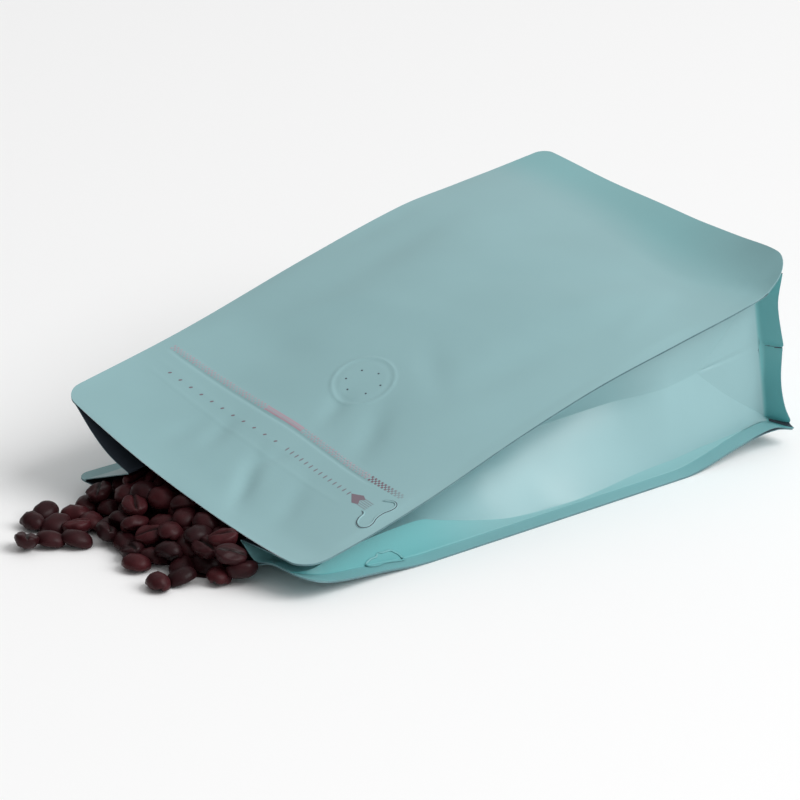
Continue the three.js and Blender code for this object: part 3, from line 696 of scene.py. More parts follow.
def scatterTree(name, kinds, material):
    tree = bpy.data.node_groups.new(name, "GeometryNodeTree")
    tree.interface.new_socket("Geometry", in_out="INPUT", socket_type="NodeSocketGeometry")
    size = tree.interface.new_socket("Bean Scale", in_out="INPUT", socket_type="NodeSocketFloat")
    variation = tree.interface.new_socket("Size Variation", in_out="INPUT", socket_type="NodeSocketFloat")
    seed = tree.interface.new_socket("Seed", in_out="INPUT", socket_type="NodeSocketInt")
    tree.interface.new_socket("Geometry", in_out="OUTPUT", socket_type="NodeSocketGeometry")
    given = addNode(tree, "NodeGroupInput")
    pool = addNode(tree, "GeometryNodeGeometryToInstance")
    for kind in reversed(kinds):  # a multi-input socket hands its links on in reverse
        info = addNode(tree, "GeometryNodeObjectInfo", {}, {"Object": kind})
        tree.links.new(info.outputs["Geometry"], pool.inputs[0])
    low = addNode(tree, "ShaderNodeMath", {"operation": "SUBTRACT"}, {0: 1.0, 1: given.outputs["Size Variation"]})
    high = addNode(tree, "ShaderNodeMath", {"operation": "ADD"}, {0: 1.0, 1: given.outputs["Size Variation"]})
    draw = addNode(tree, "FunctionNodeRandomValue", {"data_type": "FLOAT"}, {"Seed": given.outputs["Seed"]})
    tree.links.new(low.outputs[0], draw.inputs[2])
    tree.links.new(high.outputs[0], draw.inputs[3])
    scaled = addNode(tree, "ShaderNodeMath", {"operation": "MULTIPLY"},
                     {0: draw.outputs[1], 1: given.outputs["Bean Scale"]})
    turn = addNode(tree, "GeometryNodeInputNamedAttribute", {"data_type": "FLOAT_VECTOR"}, {"Name": "turn"})
    kindAt = addNode(tree, "GeometryNodeInputNamedAttribute", {"data_type": "INT"}, {"Name": "kind"})
    placed = addNode(tree, "GeometryNodeInstanceOnPoints", {},
                     {"Points": given.outputs["Geometry"], "Instance": pool.outputs[0], "Pick Instance": True,
                      "Instance Index": kindAt.outputs[0], "Rotation": turn.outputs[0], "Scale": scaled.outputs[0]})
    real = addNode(tree, "GeometryNodeRealizeInstances", {}, {"Geometry": placed.outputs[0]})
    coated = addNode(tree, "GeometryNodeSetMaterial", {}, {"Geometry": real.outputs[0], "Material": material})
    addNode(tree, "NodeGroupOutput", {}, {"Geometry": coated.outputs[0]})
    return tree, {"size": size.identifier, "spread": variation.identifier, "seed": seed.identifier}


def bakeNodes(name, points, attributes, tree, values):  # runs a tree on points and keeps the result as a plain mesh
    mesh = bpy.data.meshes.new(name + "Points")
    mesh.from_pydata((points * mm).tolist(), [], [])
    for key, (kind, data) in attributes.items():
        layer = mesh.attributes.new(key, kind, "POINT")
        layer.data.foreach_set("vector" if kind == "FLOAT_VECTOR" else "value", np.asarray(data).ravel())
    holder = newObject(name + "Points", mesh)
    modifier = holder.modifiers.new("scatter", "NODES")
    modifier.node_group = tree
    for key, value in values.items():
        modifier[key] = value
    bpy.context.view_layer.update()
    ready = holder.evaluated_get(bpy.context.evaluated_depsgraph_get())
    plain = bpy.data.meshes.new_from_object(ready)
    holder.modifiers.remove(modifier)
    bpy.data.objects.remove(holder)
    return newObject(name, plain)


def onFilm(x, v, heading, rise):  # a place and a turn on the front panel, facing out of it
    step = 0.05
    zx = (frontZ(x + step, v) - frontZ(x - step, v)) / (2 * step)
    zv = (frontZ(x, v + step) - frontZ(x, v - step)) / (2 * step)
    normal = Vector((-zx, -zv, 1)).normalized()
    climb = zx * math.cos(heading) + zv * math.sin(heading)
    forward = Vector((math.cos(heading), math.sin(heading), climb)).normalized()
    turn = Matrix((forward, normal.cross(forward), normal)).transposed().to_euler()
    return Vector((x, v - pouch["restAt"], float(frontZ(x, v)))) + normal * rise, turn


# ---- printed marks: flat patches of ink, and the valve's pinholes ----

inkLook = {"pink": "#A98795", "maroon": "#6B4A58", "pale": 0.5, "thick": 0.08}
prints = {
    "check": {"size": (0.8, 0.8), "pitch": 1.6, "rows": (-0.8, 0, 0.8)},
    "ticks": {"count": 11, "from": (-49.9, 33.7), "to": (3.65, 37.2), "size": (1.4, 0.75), "turn": 0.9},
    "dashes": {"count": 14, "from": (9.6, 37.5), "to": (43, 37.1), "size": (2.0, 0.62), "turn": 1.5},
    "bar": {"size": (1.02, 0.52), "pitch": 1.0, "rows": ((-0.75, 0.95), (-0.25, 0.55), (0.25, 0.6), (0.75, 0.85))},
    "barFrom": -10.9, "barTo": 6.5, "bandFrom": -59.5, "bandTo": 42,
    "checkFrom": 43, "checkTo": 59,
    "wedge": {"at": (46.9, 37), "size": (6.2, 5.0)},
    "stripes": {"count": 5, "from": (51.6, 35.3), "to": (51.6, 38.6), "size": (4.6, 0.4), "turn": 0},
    "pinhole": 0.36,
    "pinholes": [[-0.3, 70.5], [1, 76.3], [6.7, 78.9], [11.5, 75.8], [10.5, 70.3], [3.9, 67.7]],
}


def patchMesh(name, outline):  # a thin slab of ink with a given outline in mm
    thick = inkLook["thick"]
    n = len(outline)
    points = [(x * mm, y * mm, z * mm) for z in (thick / 2, -thick / 2) for x, y in outline]
    faces = [list(range(n)), list(range(2 * n - 1, n - 1, -1))]
    faces += [[i, i + n, (i + 1) % n + n, (i + 1) % n] for i in range(n)]
    mesh = bpy.data.meshes.new(name)
    mesh.from_pydata(points, [], faces)
    setValues(mesh, "upper", "INT", "POINT", np.repeat([1, 0], n))
    return newObject(name, mesh)


def roundPatch(name, wide, high, count):
    turn = [2 * math.pi * k / count for k in range(count)]
    return patchMesh(name, [(wide / 2 * math.cos(t), high / 2 * math.sin(t)) for t in turn])


def boxPatch(name, wide, high):
    corners = ((-1, -1), (1, -1), (1, 1), (-1, 1))
    return patchMesh(name, [(wide / 2 * across, high / 2 * up) for across, up in corners])


# thin ink over the varnish: it takes the film's sheen, and the film shows through where it is pale
def inkOnFilm(name, colour):
    material, tree = newMaterial(name)
    return finished(material, tree, {"Base Color": blend(tree, attribute(tree, "tone"), filmLook["colour"], colour),
                                     "Roughness": filmLook["roughness"], "IOR": filmLook["ior"]})


def bandPlace(x, off):
    slope = float(along(relief["band"], x + 0.5) - along(relief["band"], x - 0.5))
    return x, float(along(relief["band"], x)) + off, math.atan(slope)


def pinkMarks():  # kind, x, v, heading, ink
    marks = []
    check = prints["check"]
    for row, off in enumerate(check["rows"]):
        for start, stop in ((prints["bandFrom"], prints["barFrom"]), (prints["barTo"] + 1, prints["bandTo"])):
            for x in np.arange(start + row % 2 * check["pitch"] / 2, stop, check["pitch"]):
                marks.append([0, *bandPlace(x, off), inkLook["pale"] * (0.75 + 0.5 * math.sin(0.35 * x) ** 2)])
    for off, ink in prints["bar"]["rows"]:
        for x in np.arange(prints["barFrom"], prints["barTo"] + 0.01, prints["bar"]["pitch"]):
            marks.append([1, *bandPlace(x, off), ink])
    return marks


def maroonMarks():
    marks = []
    check = prints["check"]
    for row, off in enumerate(check["rows"]):
        for x in np.arange(prints["checkFrom"] + row % 2 * check["pitch"] / 2, prints["checkTo"], check["pitch"]):
            marks.append([0, *bandPlace(x, off), 0.95 - 0.6 * ease(48, 59, x)])
    for kind, name, ink in ((1, "ticks", 0.85), (2, "dashes", 0.7), (4, "stripes", 0.45)):
        line = prints[name]
        for share in np.linspace(0, 1, line["count"]):
            x = line["from"][0] + (line["to"][0] - line["from"][0]) * share
            v = line["from"][1] + (line["to"][1] - line["from"][1]) * share
            marks.append([kind, x, v, line["turn"], ink])
    marks.append([3, *prints["wedge"]["at"], 0, 0.85])
    return marks


def printPiece(name, marks, shapes, material):
    spots = [onFilm(x, v, heading, 0) for _, x, v, heading, _ in marks]
    tree, sockets = scatterTree(name + "Scatter", shapes, material)
    piece = bakeNodes(name, np.array([list(s[0]) for s in spots]),
                      {"turn": ("FLOAT_VECTOR", np.array([list(s[1]) for s in spots], np.float32)),
                       "kind": ("INT", np.array([m[0] for m in marks], np.int32)),
                       "tone": ("FLOAT", np.array([m[4] for m in marks], np.float32))},
                      tree, {sockets["size"]: 1.0, sockets["spread"]: 0.0, sockets["seed"]: 1})
    for shape in shapes:
        bpy.data.objects.remove(shape)
    # a patch is made flat: its two faces are laid on the curved film
    spot = np.empty(len(piece.data.vertices) * 3, np.float32)
    piece.data.vertices.foreach_get("co", spot)
    spot = spot.reshape(-1, 3).astype(float) / mm
    upper = np.empty(len(piece.data.vertices), np.int32)
    piece.data.attributes["upper"].data.foreach_get("value", upper)
    lift = np.where(upper > 0, 1, -1) * inkLook["thick"] / 2
    spot[:, 2] = frontZ(spot[:, 0], spot[:, 1] + pouch["restAt"]) + lift
    piece.data.vertices.foreach_set("co", (spot * mm).ravel())
    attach(piece, "root")
    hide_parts("pouch")


wide, high = prints["wedge"]["size"]
wedge = [(-wide / 2, high * 0.1), (wide * 0.1, -high / 2), (wide / 2, -high * 0.34), (wide * 0.3, 0),
         (wide / 2, high * 0.3), (wide * 0.16, high / 2)]
printPiece("pinkPrint", pinkMarks(),
           [boxPatch("pinkCheck", *prints["check"]["size"]), boxPatch("pinkBar", *prints["bar"]["size"])],
           inkOnFilm("pinkInk", inkLook["pink"]))
printPiece("maroonPrint", maroonMarks(),
           [boxPatch("maroonCheck", *prints["check"]["size"]), roundPatch("tick", *prints["ticks"]["size"], 10),
            roundPatch("dash", *prints["dashes"]["size"], 12), patchMesh("wedge", wedge),
            boxPatch("stripe", *prints["stripes"]["size"])],
           inkOnFilm("maroonInk", inkLook["maroon"]))
# the valve's pinholes are flat discs of the dark lining laid on the film: painted shade that stands in for the holes
printPiece("valvePinholes", [[0, x, v, 0, 1] for x, v in prints["pinholes"]],
           [roundPatch("pinhole", 2 * prints["pinhole"], 2 * prints["pinhole"], 12)], filmMaterials[1])
print("printed marks made")


# ---- tear tab: a die-cut line through the seal, with lips where the knife pushed the film up ----

tab = {
    "outline": [[53.2, 34.2], [55, 33.5], [55.7, 31], [57.2, 29], [59.8, 28.5], [61.3, 30.2], [61.2, 32.5], [60.1, 35],
                [59.9, 38], [60.6, 41], [60.2, 43.2], [58.4, 44.1], [56, 43], [54.6, 41.6]],
    "closing": [[53.2, 39.6], [53.6, 36.6], [53.2, 34.6]],  # only faintly pressed, on the back seal
    "perPoint": 9, "backShift": 3.0, "backIn": 1.9, "backFlat": 0.7,
    # across the line: offset, height, and 1 where the cut itself is
    "profile": [[-0.72, -0.02, 0], [-0.5, 0.22, 0], [-0.2, 0.36, 0], [-0.04, 0.1, 1], [0.3, 0.06, 0], [0.38, 0.12, 0],
                [0.6, -0.02, 0], [0.4, -0.12, 0], [-0.5, -0.12, 0]],
}


def smoothPath(points, per):  # an open curve through the points
    p = np.array([points[0], *points, points[-1]], float)
    out = []
    for k in range(1, len(p) - 2):
        pull = 2 * p[k - 1] - 5 * p[k] + 4 * p[k + 1] - p[k + 2]
        swing = 3 * p[k] - p[k - 1] - 3 * p[k + 1] + p[k + 2]
        for t in np.linspace(0, 1, per, endpoint=False):
            out.append(0.5 * (2 * p[k] + (p[k + 1] - p[k - 1]) * t + pull * t * t + swing * t ** 3))
    return np.array([*out, p[-2]])


# a closed ridge along the outline, laid on a surface that gives a point for x, v and height
def makeCut(name, outline, surface, scale, bare, sealed):
    path = smoothPath(outline, tab["perPoint"])
    tangent = np.gradient(path, axis=0)
    tangent /= np.linalg.norm(tangent, axis=1, keepdims=True)
    side = np.stack([tangent[:, 1], -tangent[:, 0]], 1)
    profile = np.array(tab["profile"])
    fade = np.clip(np.minimum(np.arange(len(path)), np.arange(len(path))[::-1]) / 6, 0.05, 1)
    profile[:, 0] *= scale
    x = path[:, None, 0] + side[:, None, 0] * profile[None, :, 0] * fade[:, None]
    v = path[:, None, 1] + side[:, None, 1] * profile[None, :, 0] * fade[:, None]
    rows, columns = x.shape
    points = surface(x, v, profile[None, :, 1] * fade[:, None] * scale).reshape(-1, 3) * mm
    faces, slots = [], []
    for i in range(rows - 1):
        for j in range(columns):
            k = (j + 1) % columns
            faces.append([i * columns + j, i * columns + k, (i + 1) * columns + k, (i + 1) * columns + j])
            slots.append(bare if profile[j, 2] else 0)
    faces += [list(range(columns))[::-1], [(rows - 1) * columns + j for j in range(columns)]]
    mesh = bpy.data.meshes.new(name)
    mesh.from_pydata(points.tolist(), [], faces)
    setValues(mesh, "sealed", "FLOAT", "POINT", np.full(len(points), sealed, np.float32))
    mesh.polygons.foreach_set("material_index", np.array(slots + [0, 0]))
    mesh.polygons.foreach_set("use_smooth", np.ones(len(faces), bool))
    piece = newObject(name, mesh)
    for material in filmMaterials:
        piece.data.materials.append(material)
    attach(piece, "root")
    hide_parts("pouch")


def onFront(x, v, rise):
    return place(x, v, frontZ(x, v) + rise)


def onGusset(x, v, rise):  # the same spot of the right gusset, measured in from the outer edge of the back seal
    spots = np.zeros((*x.shape, 3))
    sections = {}
    for i in np.ndindex(x.shape):
        at = round(float(v[i]) * 2) / 2
        if at not in sections:
            points = gussetSection(1, at)[:sum(gussetLook["steps"][:3]):-1]
            length = np.concatenate([[0], np.cumsum(np.linalg.norm(np.diff(points, axis=0), axis=1))])
            sections[at] = points, length
        points, length = sections[at]
        def spot(s):
            return np.array([np.interp(s, length, points[:, k]) for k in (0, 2)])
        s = (half - x[i]) * tab["backFlat"] + tab["backIn"]
        here, tangent = spot(s), spot(s + 0.6) - spot(s - 0.6)
        out = np.array([tangent[1], -tangent[0]]) / np.linalg.norm(tangent)
        spots[i] = here[0] + out[0] * rise[i], v[i] + tab["backShift"] - pouch["restAt"], here[1] + out[1] * rise[i]
    return spots


makeCut("tearTab", tab["outline"], onFront, 1, 1, 0)
# the back tab takes most of the painted shade of the gusset wall it lies on
makeCut("tearTabBack", tab["outline"] + tab["closing"], onGusset, 0.7, 0, 0.75)
print("tear tab made")


view = {  # the photograph's camera, solved from the pouch's corners: it looks at aim, in mm
    "azimuth": 51.61, "elevation": 21.62, "roll": -0.95, "distance": 2035.6, "aim": (-3.5, -9.05, 26.0),
    "lens": 270,
}


# ---- coffee beans ----

bean = {
    "length": 10.6, "width": 8.4, "dome": 3.9, "flat": 1.6, "groove": 0.9, "grooveWide": 0.5,
    "rings": 15, "round": 26, "kinds": 6,
    "flipped": 0.24, "pitch": 0.28, "sizeSpread": 0.05,  # share lying groove up, most tip along the bean in radians
}
heap = {
    "inside": 74, "bed": 8, "top": 17, "slope": 0.6, "least": 6,
    "leftFall": 6, "leftFrom": -15, "leftTo": -40,
    "spillX": -4, "spillHalf": 46, "spillReach": 19,
    "besideFold": 5.6, "coreEdge": 6, "tries": 1500, "picks": 5, "seed": 21, "contact": 0.85, "lift": 0.5,
    "spilledTo": 24,  # beans up to here from the mouth are one piece with those on the floor
    "mostLowered": 3.2, "lowest": 2.2,  # a bean lowered by more, or lying lower, is left out
    "rimTilt": 0.15, "tilt": 0.9, "rollMore": 1.3, "tucked": 0.6,
    # room under the mouth edge, and a bean's height over its middle at these distances from it
    "edgeRoom": 1, "outline": [(0, 3.2), (3, 2.6), (5, 1.2)],
}
rimBeans = [
    [-47.2, -127, 20], [-44.2, -133.2, 80], [-36.4, -129.6, 10], [-28.8, -126.8, 150], [-22.4, -132.2, 140],
    [-27.2, -138, 130], [-30.7, -146.2, 60], [-43.6, -111.4, 35], [-39.6, -119.6, 110], [-31.2, -119, 60],
    [-23, -117.2, 30], [-9.5, -121, 65], [6.9, -128.6, 100], [6.8, -120.4, 150], [24.3, -132.4, 70],
    [25.6, -124.6, 165], [33.2, -114.2, 40], [18.6, -118.6, 20],
]


def dice(seed):  # the same repeatable random numbers as the CAD heap has
    whole = 0xFFFFFFFF
    state = seed

    def roll():
        nonlocal state
        state = (state + 0x6D2B79F5) & whole
        t = ((state ^ (state >> 15)) * (1 | state)) & whole
        t = ((t + (((t ^ (t >> 7)) * (61 | t)) & whole)) & whole) ^ t
        return ((t ^ (t >> 14)) & whole) / 4294967296
    return roll


def easeOne(start, finish, x):
    t = min(max((x - start) / (finish - start), 0), 1)
    return t * t * (3 - 2 * t)


def isClear(x, y, z, margin):
    v = y + pouch["restAt"]
    wall = pouch["cadFilm"]
    if v < -margin:
        return z > 0
    if z < float(backZ(x, v)) + wall + margin or z > float(frontBase(x, v)) - wall - margin:
        return False
    side = -1 if x < 0 else 1
    top = float(frontBase(side * root, v)) - wall
    low = float(backZ(side * root, v)) + wall
    run = 1 - easeOne(gusset["foldFrom"], gusset["flatFrom"], v)
    depth = run * math.sqrt(max(gusset["half"][side] ** 2 - ((top - low) / 2) ** 2, 0))
    centre = low + gusset["creaseShare"][side] * (top - low)
    into = abs(x) - (root - depth) + wall + margin
    if into <= 0:
        return True
    share = min(into / max(depth, 1), 1)
    above = centre + (top - centre) * share + wall + margin
    below = centre - (centre - low) * share - wall - margin
    return abs(x) < root and (z > above or z < below)


def heapTop(x, y):
    v = y + pouch["restAt"]
    fall = heap["leftFall"] * easeOne(heap["leftFrom"], heap["leftTo"], x)
    if v > heap["inside"]:
        return 0
    if v < 0:
        reach = heap["spillReach"] * math.sqrt(max(1 - ((x - heap["spillX"]) / heap["spillHalf"]) ** 2, 0))
        return 0 if -v > reach else max(heap["top"] + heap["slope"] * v - fall, heap["least"])
    bed = heap["top"] + (heap["bed"] - heap["top"]) * (v / heap["inside"]) ** 1.5
    return bed - fall * (1 - v / heap["inside"])


def settleBeans():  # beans dropped one after another, each into the lowest of a few places
    random = dice(heap["seed"])
    across = heap["contact"] * (bean["length"] + bean["width"]) / 2
    above = heap["contact"] * (bean["dome"] + bean["flat"])
    lowest = bean["flat"] + heap["lift"]
    beans = [[x, y, lowest, math.radians(turn), heap["rimTilt"]] for x, y, turn in rimBeans]
    places = np.array([b[:3] for b in beans])

    def restHeight(x, y):
        v = y + pouch["restAt"]
        z = (0 if v < 0 else float(backZ(x, v)) + pouch["cadFilm"] + pouch["gap"]) + lowest
        d = np.hypot(places[:, 0] - x, places[:, 1] - y) / across
        near = d < 1
        if near.any():
            z = max(z, float(np.max(places[near, 2] + above * np.sqrt(1 - d[near] ** 2))))
        return z

    def fits(x, y, z):
        if z + bean["dome"] * heap["tucked"] > heapTop(x, y):
            return False
        r = bean["width"] / 2
        for k in range(8):
            turn = k * math.pi / 4
            if not isClear(x + r * math.cos(turn), y + r * math.sin(turn), z + heap["lift"], pouch["gap"]):
                return False
        return isClear(x, y, z + bean["dome"], pouch["gap"])

    for n in range(heap["tries"]):
        best = None
        for k in range(heap["picks"]):
            x = heap["spillX"] + heap["spillHalf"] * (2 * random() - 1)
            y = -pouch["restAt"] - heap["spillReach"] + (heap["inside"] + heap["spillReach"]) * random()
            z = restHeight(x, y)
            if (best is None or z < best[2]) and fits(x, y, z):
                best = [x, y, z]
        turn = 2 * math.pi * random()
        tilt = heap["tilt"] * (random() - 0.5)
        if best:
            beans.append([*best, turn, tilt])
            places = np.vstack([places, best])
    return np.array(beans)


def beanMesh(kind, rings, round_):  # domed above, flatter below with its groove; the poles are at its two ends
    draw = np.random.default_rng(100 + kind)
    long = bean["length"] / 2 * draw.uniform(0.92, 1.05)
    wide = bean["width"] / 2 * draw.uniform(0.92, 1.06)
    dome, flat = bean["dome"] * draw.uniform(0.92, 1.06), bean["flat"] * draw.uniform(0.9, 1.1)
    blunt = draw.uniform(0.42, 0.5)
    lift = (dome - flat) / 2
    at = -np.cos(np.linspace(0, math.pi, rings + 1))[1:-1]
    # the groove side has closer columns
    turn = np.linspace(0, 2 * math.pi, round_, endpoint=False)
    turn = turn + 0.55 * np.sin(turn)
    tt, aa = np.meshgrid(turn, at)
    radius = (1 - np.abs(aa) ** 2.25) ** blunt
    y = wide * radius * np.sin(tt)
    up = np.cos(tt)
    z = np.where(up > 0, dome * radius * np.abs(up) ** 0.95, -flat * radius ** 0.7 * np.abs(up) ** 0.55)
    x = long * aa
    bend = 0.35 * np.sin(2.4 * aa) * draw.choice([-1, 1])
    under = np.clip(-up * 3, 0, 1)
    groove = np.exp(-((y - bend) / bean["grooveWide"]) ** 2) * (1 - aa ** 6) * under
    z = z + bean["groove"] * groove - 0.25 * under * np.exp(-((np.abs(y - bend) - 1.3) / 0.8) ** 2) * (1 - aa ** 4)
    for _ in range(6):  # shrink wrinkles of the roast
        f = draw.uniform(0.4, 1.5, 3) * draw.choice([-1, 1], 3)
        phase = draw.uniform(0, 6.28)
        swell = draw.uniform(0.04, 0.11) * np.sin(f[0] * x + f[1] * y * 1.3 + f[2] * z + phase)
        y = y + swell * np.sin(tt)
        z = z + swell * np.cos(tt)
    points = np.stack([x, y, z - lift], -1).reshape(-1, 3)
    poles = np.array([[-long, 0, -lift * 0.6], [long, 0, -lift * 0.6]])
    vertices = np.concatenate([points, poles])
    faces = []
    for k in range(rings - 2):
        for i in range(round_):
            j = (i + 1) % round_
            faces.append([k * round_ + i, (k + 1) * round_ + i, (k + 1) * round_ + j, k * round_ + j])
    first, last = len(points), len(points) + 1
    for i in range(round_):
        j = (i + 1) % round_
        faces.append([first, i, j])
        faces.append([last, (rings - 2) * round_ + j, (rings - 2) * round_ + i])
    mesh = bpy.data.meshes.new(f"beanKind{kind}")
    mesh.from_pydata(vertices.tolist(), [], faces)
    mesh.update()
    mesh.polygons.foreach_set("use_smooth", np.ones(len(faces), bool))
    # the groove carries painted shade, and the two poles a little
    setValues(mesh, "crack", "FLOAT", "POINT", np.concatenate([groove.ravel(), [0.3, 0.3]]).astype(np.float32))
    return mesh


roast = {"dark": "#240E11", "light": "#41181C", "crack": "#120B0A", "patch": 3.2, "skin": 0.7}  # the last two in mm


def roastedBean():  # dark roast: a dull brown skin, a little oil, and painted shade that darkens the crack
    material, tree = newMaterial("darkRoastSkin")
    patch = noise(tree, roast["patch"], 4.0)
    skinColour = blend(tree, attribute(tree, "tone"), roast["dark"], roast["light"])
    mottled = blend(tree, 0.55, skinColour, remap(tree, patch, 0.55, 1.35, 0.3, 0.7), "MULTIPLY")
    colour = blend(tree, attribute(tree, "crack"), mottled, roast["crack"])
    return finished(material, tree, {"Base Color": colour, "Roughness": remap(tree, patch, 0.34, 0.55), "IOR": 1.24,
                                     "Normal": ripples(tree, noise(tree, roast["skin"], 3.0), 0.35, 0.12)})


def eulers(turn, roll, pitch):  # a bean's turn about Z after its roll and pitch
    rows = []
    for a, b, c in zip(turn, roll, pitch):
        # local X is the bean's length; the CAD bean's length runs along Y before its turn
        m = Matrix.Rotation(a + math.pi / 2, 3, "Z") @ Matrix.Rotation(c, 3, "Y") @ Matrix.Rotation(b, 3, "X")
        rows.append(list(m.to_euler()))
    return np.array(rows, np.float32)


def beanAxes(rotations):
    return np.array([np.array(Euler(r.tolist()).to_matrix()) for r in rotations])


settling = {  # neighbours that run into one another are pushed apart a little, in mm and shares
    "rounds": 40, "shrink": 0.97, "reach": 0.93, "push": 0.25, "mostUp": 0.3, "mostMoved": 1.8, "sink": 0.1,
}


def relax(places, axes):
    s = settling
    semi = np.array([bean["length"] / 2, bean["width"] / 2, (bean["dome"] + bean["flat"]) / 2]) * s["shrink"]
    shape = np.einsum("nij,j,nkj->nik", axes, 1 / semi ** 2, axes)
    p = places.copy()
    for _ in range(s["rounds"]):
        d = p[None] - p[:, None]
        dist = np.linalg.norm(d, axis=-1) + np.eye(len(p)) * 1e3
        u = d / dist[..., None]
        reach = 1 / np.sqrt(np.einsum("ijk,ikl,ijl->ij", u, shape, u) + np.eye(len(p)))
        over = np.clip(s["reach"] * (reach + reach.T) - dist, 0, None)
        push = -(u * over[..., None]).sum(1) * s["push"]
        push[:, 2] = np.clip(push[:, 2], -s["mostUp"], s["mostUp"])
        p = places + np.clip(p + push - places, -s["mostMoved"], s["mostMoved"])
        low = np.sqrt(np.einsum("nij,j,nij->ni", axes, semi ** 2, axes))[:, 2]
        v = p[:, 1] + pouch["restAt"]
        floor = np.where(v < 0, 0, backZ(p[:, 0], v) + pouch["film"]) + low - s["sink"]
        p[:, 2] = np.maximum(p[:, 2], floor)
    return p, floor


def besideGussets(places):  # beans moved in from the folds of the side gussets
    moved = places.copy()
    for k, (x, y, z) in enumerate(places):
        v, side = y + pouch["restAt"], 1 if x > 0 else -1
        if 0 < v < heap["inside"] and abs(x) > 20:
            points = gussetSection(side, float(v))
            near = np.min(np.hypot(points[:, 0] - abs(x), points[:, 2] - z))
            moved[k, 0] -= side * max(heap["besideFold"] - near, 0)
    return moved


def underEdge(places):  # heights of beans that leave the front panel's mouth edge in view
    a, e = math.radians(view["azimuth"]), math.radians(view["elevation"])
    highest = np.full(len(places), 99.0)
    for reach, top in heap["outline"]:
        for turn in np.linspace(0, 2 * math.pi, 8, endpoint=False):
            v = places[:, 1] + reach * math.sin(turn) + pouch["restAt"]
            away = np.maximum(-v, 0) / math.cos(a)
            x = np.clip(places[:, 0] + reach * math.cos(turn) - away * math.sin(a), -half, half)
            edge = frontZ(x, np.maximum(v, 0)) + away * math.tan(e)
            highest = np.minimum(highest, edge - pouch["film"] - heap["edgeRoom"] - top)
    return highest


beans = settleBeans()
print("beans settled:", len(beans))
chance = np.random.default_rng(7)
flipped = chance.random(len(beans)) < bean["flipped"]
roll = beans[:, 4] * heap["rollMore"] + np.where(flipped, math.pi, 0)
pitch = chance.uniform(-bean["pitch"], bean["pitch"], len(beans))
turns = eulers(beans[:, 3], roll, pitch)
places = beans[:, :3] + np.array([0, 0, (bean["dome"] - bean["flat"]) / 2])
places, resting = relax(places, beanAxes(turns))
places = besideGussets(places)
lowered = np.maximum(np.minimum(places[:, 2], underEdge(places)), resting)
kept = (places[:, 2] - lowered < heap["mostLowered"]) & (lowered > heap["lowest"])
places[:, 2] = lowered
kinds = chance.integers(0, bean["kinds"], len(beans))
tones = chance.random(len(beans)) ** 1.3

beanMaterial = roastedBean()
kindObjects = []
for k in range(bean["kinds"]):
    shape = newObject(f"beanKind{k}", beanMesh(k, bean["rings"], bean["round"]))
    shape.data.transform(Matrix.Scale(mm, 4))
    kindObjects.append(shape)
beanTree, sockets = scatterTree("coffeeBeanScatter", kindObjects, beanMaterial)
print("beans kept:", int(kept.sum()))
spilled = beans[:, 1] + pouch["restAt"] < heap["spilledTo"]
for name, chosen in (("spilledBeans", spilled & kept), ("baggedBeans", ~spilled & kept)):
    piece = bakeNodes(name, places[chosen],
                      {"turn": ("FLOAT_VECTOR", turns[chosen]), "kind": ("INT", kinds[chosen]),
                       "tone": ("FLOAT", tones[chosen])},
                      beanTree, {sockets["size"]: 1.0, sockets["spread"]: bean["sizeSpread"], sockets["seed"]: 4})
    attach(piece, "root")
    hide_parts("coffee_beans")
    print(name, len(piece.data.polygons), "faces")
for shape in kindObjects:
    bpy.data.objects.remove(shape)


coreLook = {  # mm that the core is narrower than the heap, lies under its top and stands clear of the film
    "steps": 40, "film": 0.25, "narrower": 3, "under": 6.2, "least": 0.6, "wave": 0.5, "clear": 0.1, "foot": 0.3,
}


def makeCore():  # the dark inside of the heap, under the beans
    c = coreLook
    start, stop = -pouch["restAt"] - heap["spillReach"] + heap["coreEdge"], -pouch["restAt"] + heap["inside"]
    rows = []
    for w in np.linspace(0, 1, c["steps"]):
        y = start + (stop - start) * w
        v = y + pouch["restAt"]
        bow = math.sqrt(max(1 - (min(v, 0) / heap["spillReach"]) ** 2, 0))
        row = []
        for u in np.linspace(0, 1, c["steps"]):
            x = heap["spillX"] + (heap["spillHalf"] - heap["coreEdge"] - c["narrower"]) * bow * (2 * u - 1)
            floor = 0 if v < 0 else float(backZ(x, v)) + pouch["film"] + c["clear"]
            edge = math.sqrt(max(0, 1 - (2 * u - 1) ** 4) * math.sin(math.pi * w))
            deep = max(heapTop(x, y) - c["under"] - floor, c["least"])
            wave = c["wave"] * math.sin(0.9 * x + 0.4 * y) * math.sin(0.8 * y - 0.3 * x)
            row.append([x, y, floor + c["foot"] + (deep + wave) * edge])
        rows.append(row)
    return makeShell("heapCore", np.array(rows), c["film"], (0, 0, 1))


core = makeCore()
for face in ("outer", "inner", "rim"):
    core.data.materials.append(beanMaterial)
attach(core, "root")
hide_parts("coffee_beans")
print("beans placed")


# ---- valve cap and zip strip under the film: the CAD pieces with moulded finishes ----

def mouldedPlastic(name, colour, roughness):  # polyethylene mouldings: milky, softly glossy
    material, tree = newMaterial(name)
    return finished(material, tree, {"Base Color": linear(colour), "Roughness": roughness, "IOR": 1.5,
                                     "Normal": ripples(tree, noise(tree, 1.5, 2.0), 0.1, 0.1)})


for node, material in (("valve", mouldedPlastic("mouldedValve", "#E8E8E4", 0.4)),
                       ("zip_strip", mouldedPlastic("extrudedZip", "#DFE6E6", 0.3))):
    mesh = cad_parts[node].data
    mesh.materials.clear()
    mesh.materials.append(material)
print("valve and zip finished")


# ---- floor, lights, camera ----

floorLook = {"reach": 6, "colour": (0.9, 0.9, 0.9, 1), "roughness": 0.8}  # reach in metres


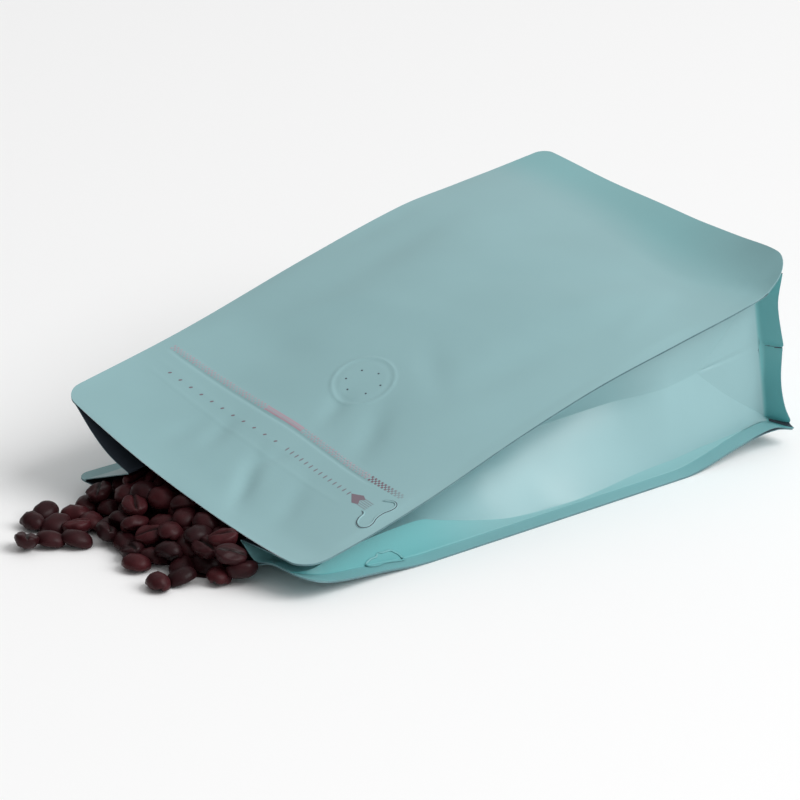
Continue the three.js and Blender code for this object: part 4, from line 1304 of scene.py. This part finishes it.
def makeFloor():
    material, tree = newMaterial("paleFloor")
    finished(material, tree, {"Base Color": floorLook["colour"], "Roughness": floorLook["roughness"]})
    mesh = bpy.data.meshes.new("floor")
    reach = floorLook["reach"]
    corners = [(-reach, -reach, 0), (reach, -reach, 0), (reach, reach, 0), (-reach, reach, 0)]
    mesh.from_pydata(corners, [], [(0, 1, 2, 3)])
    mesh.materials.append(material)
    floor = newObject("floor", mesh)
    floor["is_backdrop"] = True


# azimuth is measured as the camera's; power in watts, distance and size in metres
keyLight = {"azimuth": 115, "elevation": 42, "distance": 4.0, "size": 2.5, "power": 125}
studio = {"toward": (0.45, 0.75, 0.5), "bright": 0.79, "dim": 0.1, "soft": 0.7}  # the surroundings are brighter on one side


def makeLights():
    world = bpy.data.worlds.new("softStudio")
    bpy.context.scene.world = world
    world.use_nodes = True
    tree = world.node_tree
    tree.nodes.clear()
    coord = addNode(tree, "ShaderNodeTexCoord")
    side = addNode(tree, "ShaderNodeVectorMath", {"operation": "DOT_PRODUCT"}, {0: coord.outputs["Generated"]})
    side.inputs[1].default_value = Vector(studio["toward"]).normalized()
    level = addNode(tree, "ShaderNodeMapRange", {"interpolation_type": "SMOOTHSTEP"},
                    {"Value": side.outputs["Value"], "From Min": -studio["soft"], "From Max": studio["soft"],
                     "To Min": studio["dim"], "To Max": studio["bright"]})
    sky = addNode(tree, "ShaderNodeBackground", {}, {"Color": (1, 1, 1, 1), "Strength": level.outputs[0]})
    addNode(tree, "ShaderNodeOutputWorld", {}, {"Surface": sky.outputs[0]})
    light = bpy.data.lights.new("key", "AREA")
    light.size = keyLight["size"]
    light.energy = keyLight["power"]
    lamp = newObject("key", light)
    out = outward(keyLight["azimuth"], keyLight["elevation"])
    lamp.location = out * keyLight["distance"]
    lamp.rotation_euler = out.to_track_quat("Z", "Y").to_euler()


def makeCamera():
    back = outward(view["azimuth"], view["elevation"])
    data = bpy.data.cameras.new("camera")
    data.lens = view["lens"]
    data.sensor_width = 36
    data.clip_start, data.clip_end = 0.05, 50
    camera = newObject("camera", data)
    camera.location = (Vector(view["aim"]) + back * view["distance"]) * mm
    turn = (-back).to_track_quat("-Z", "Y").to_matrix() @ Matrix.Rotation(math.radians(view["roll"]), 3, "Z")
    camera.rotation_euler = turn.to_euler()
    bpy.context.scene.camera = camera


makeFloor()
makeLights()
makeCamera()
bpy.context.scene.view_settings.view_transform = "Standard"
print("stage set")

low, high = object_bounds()
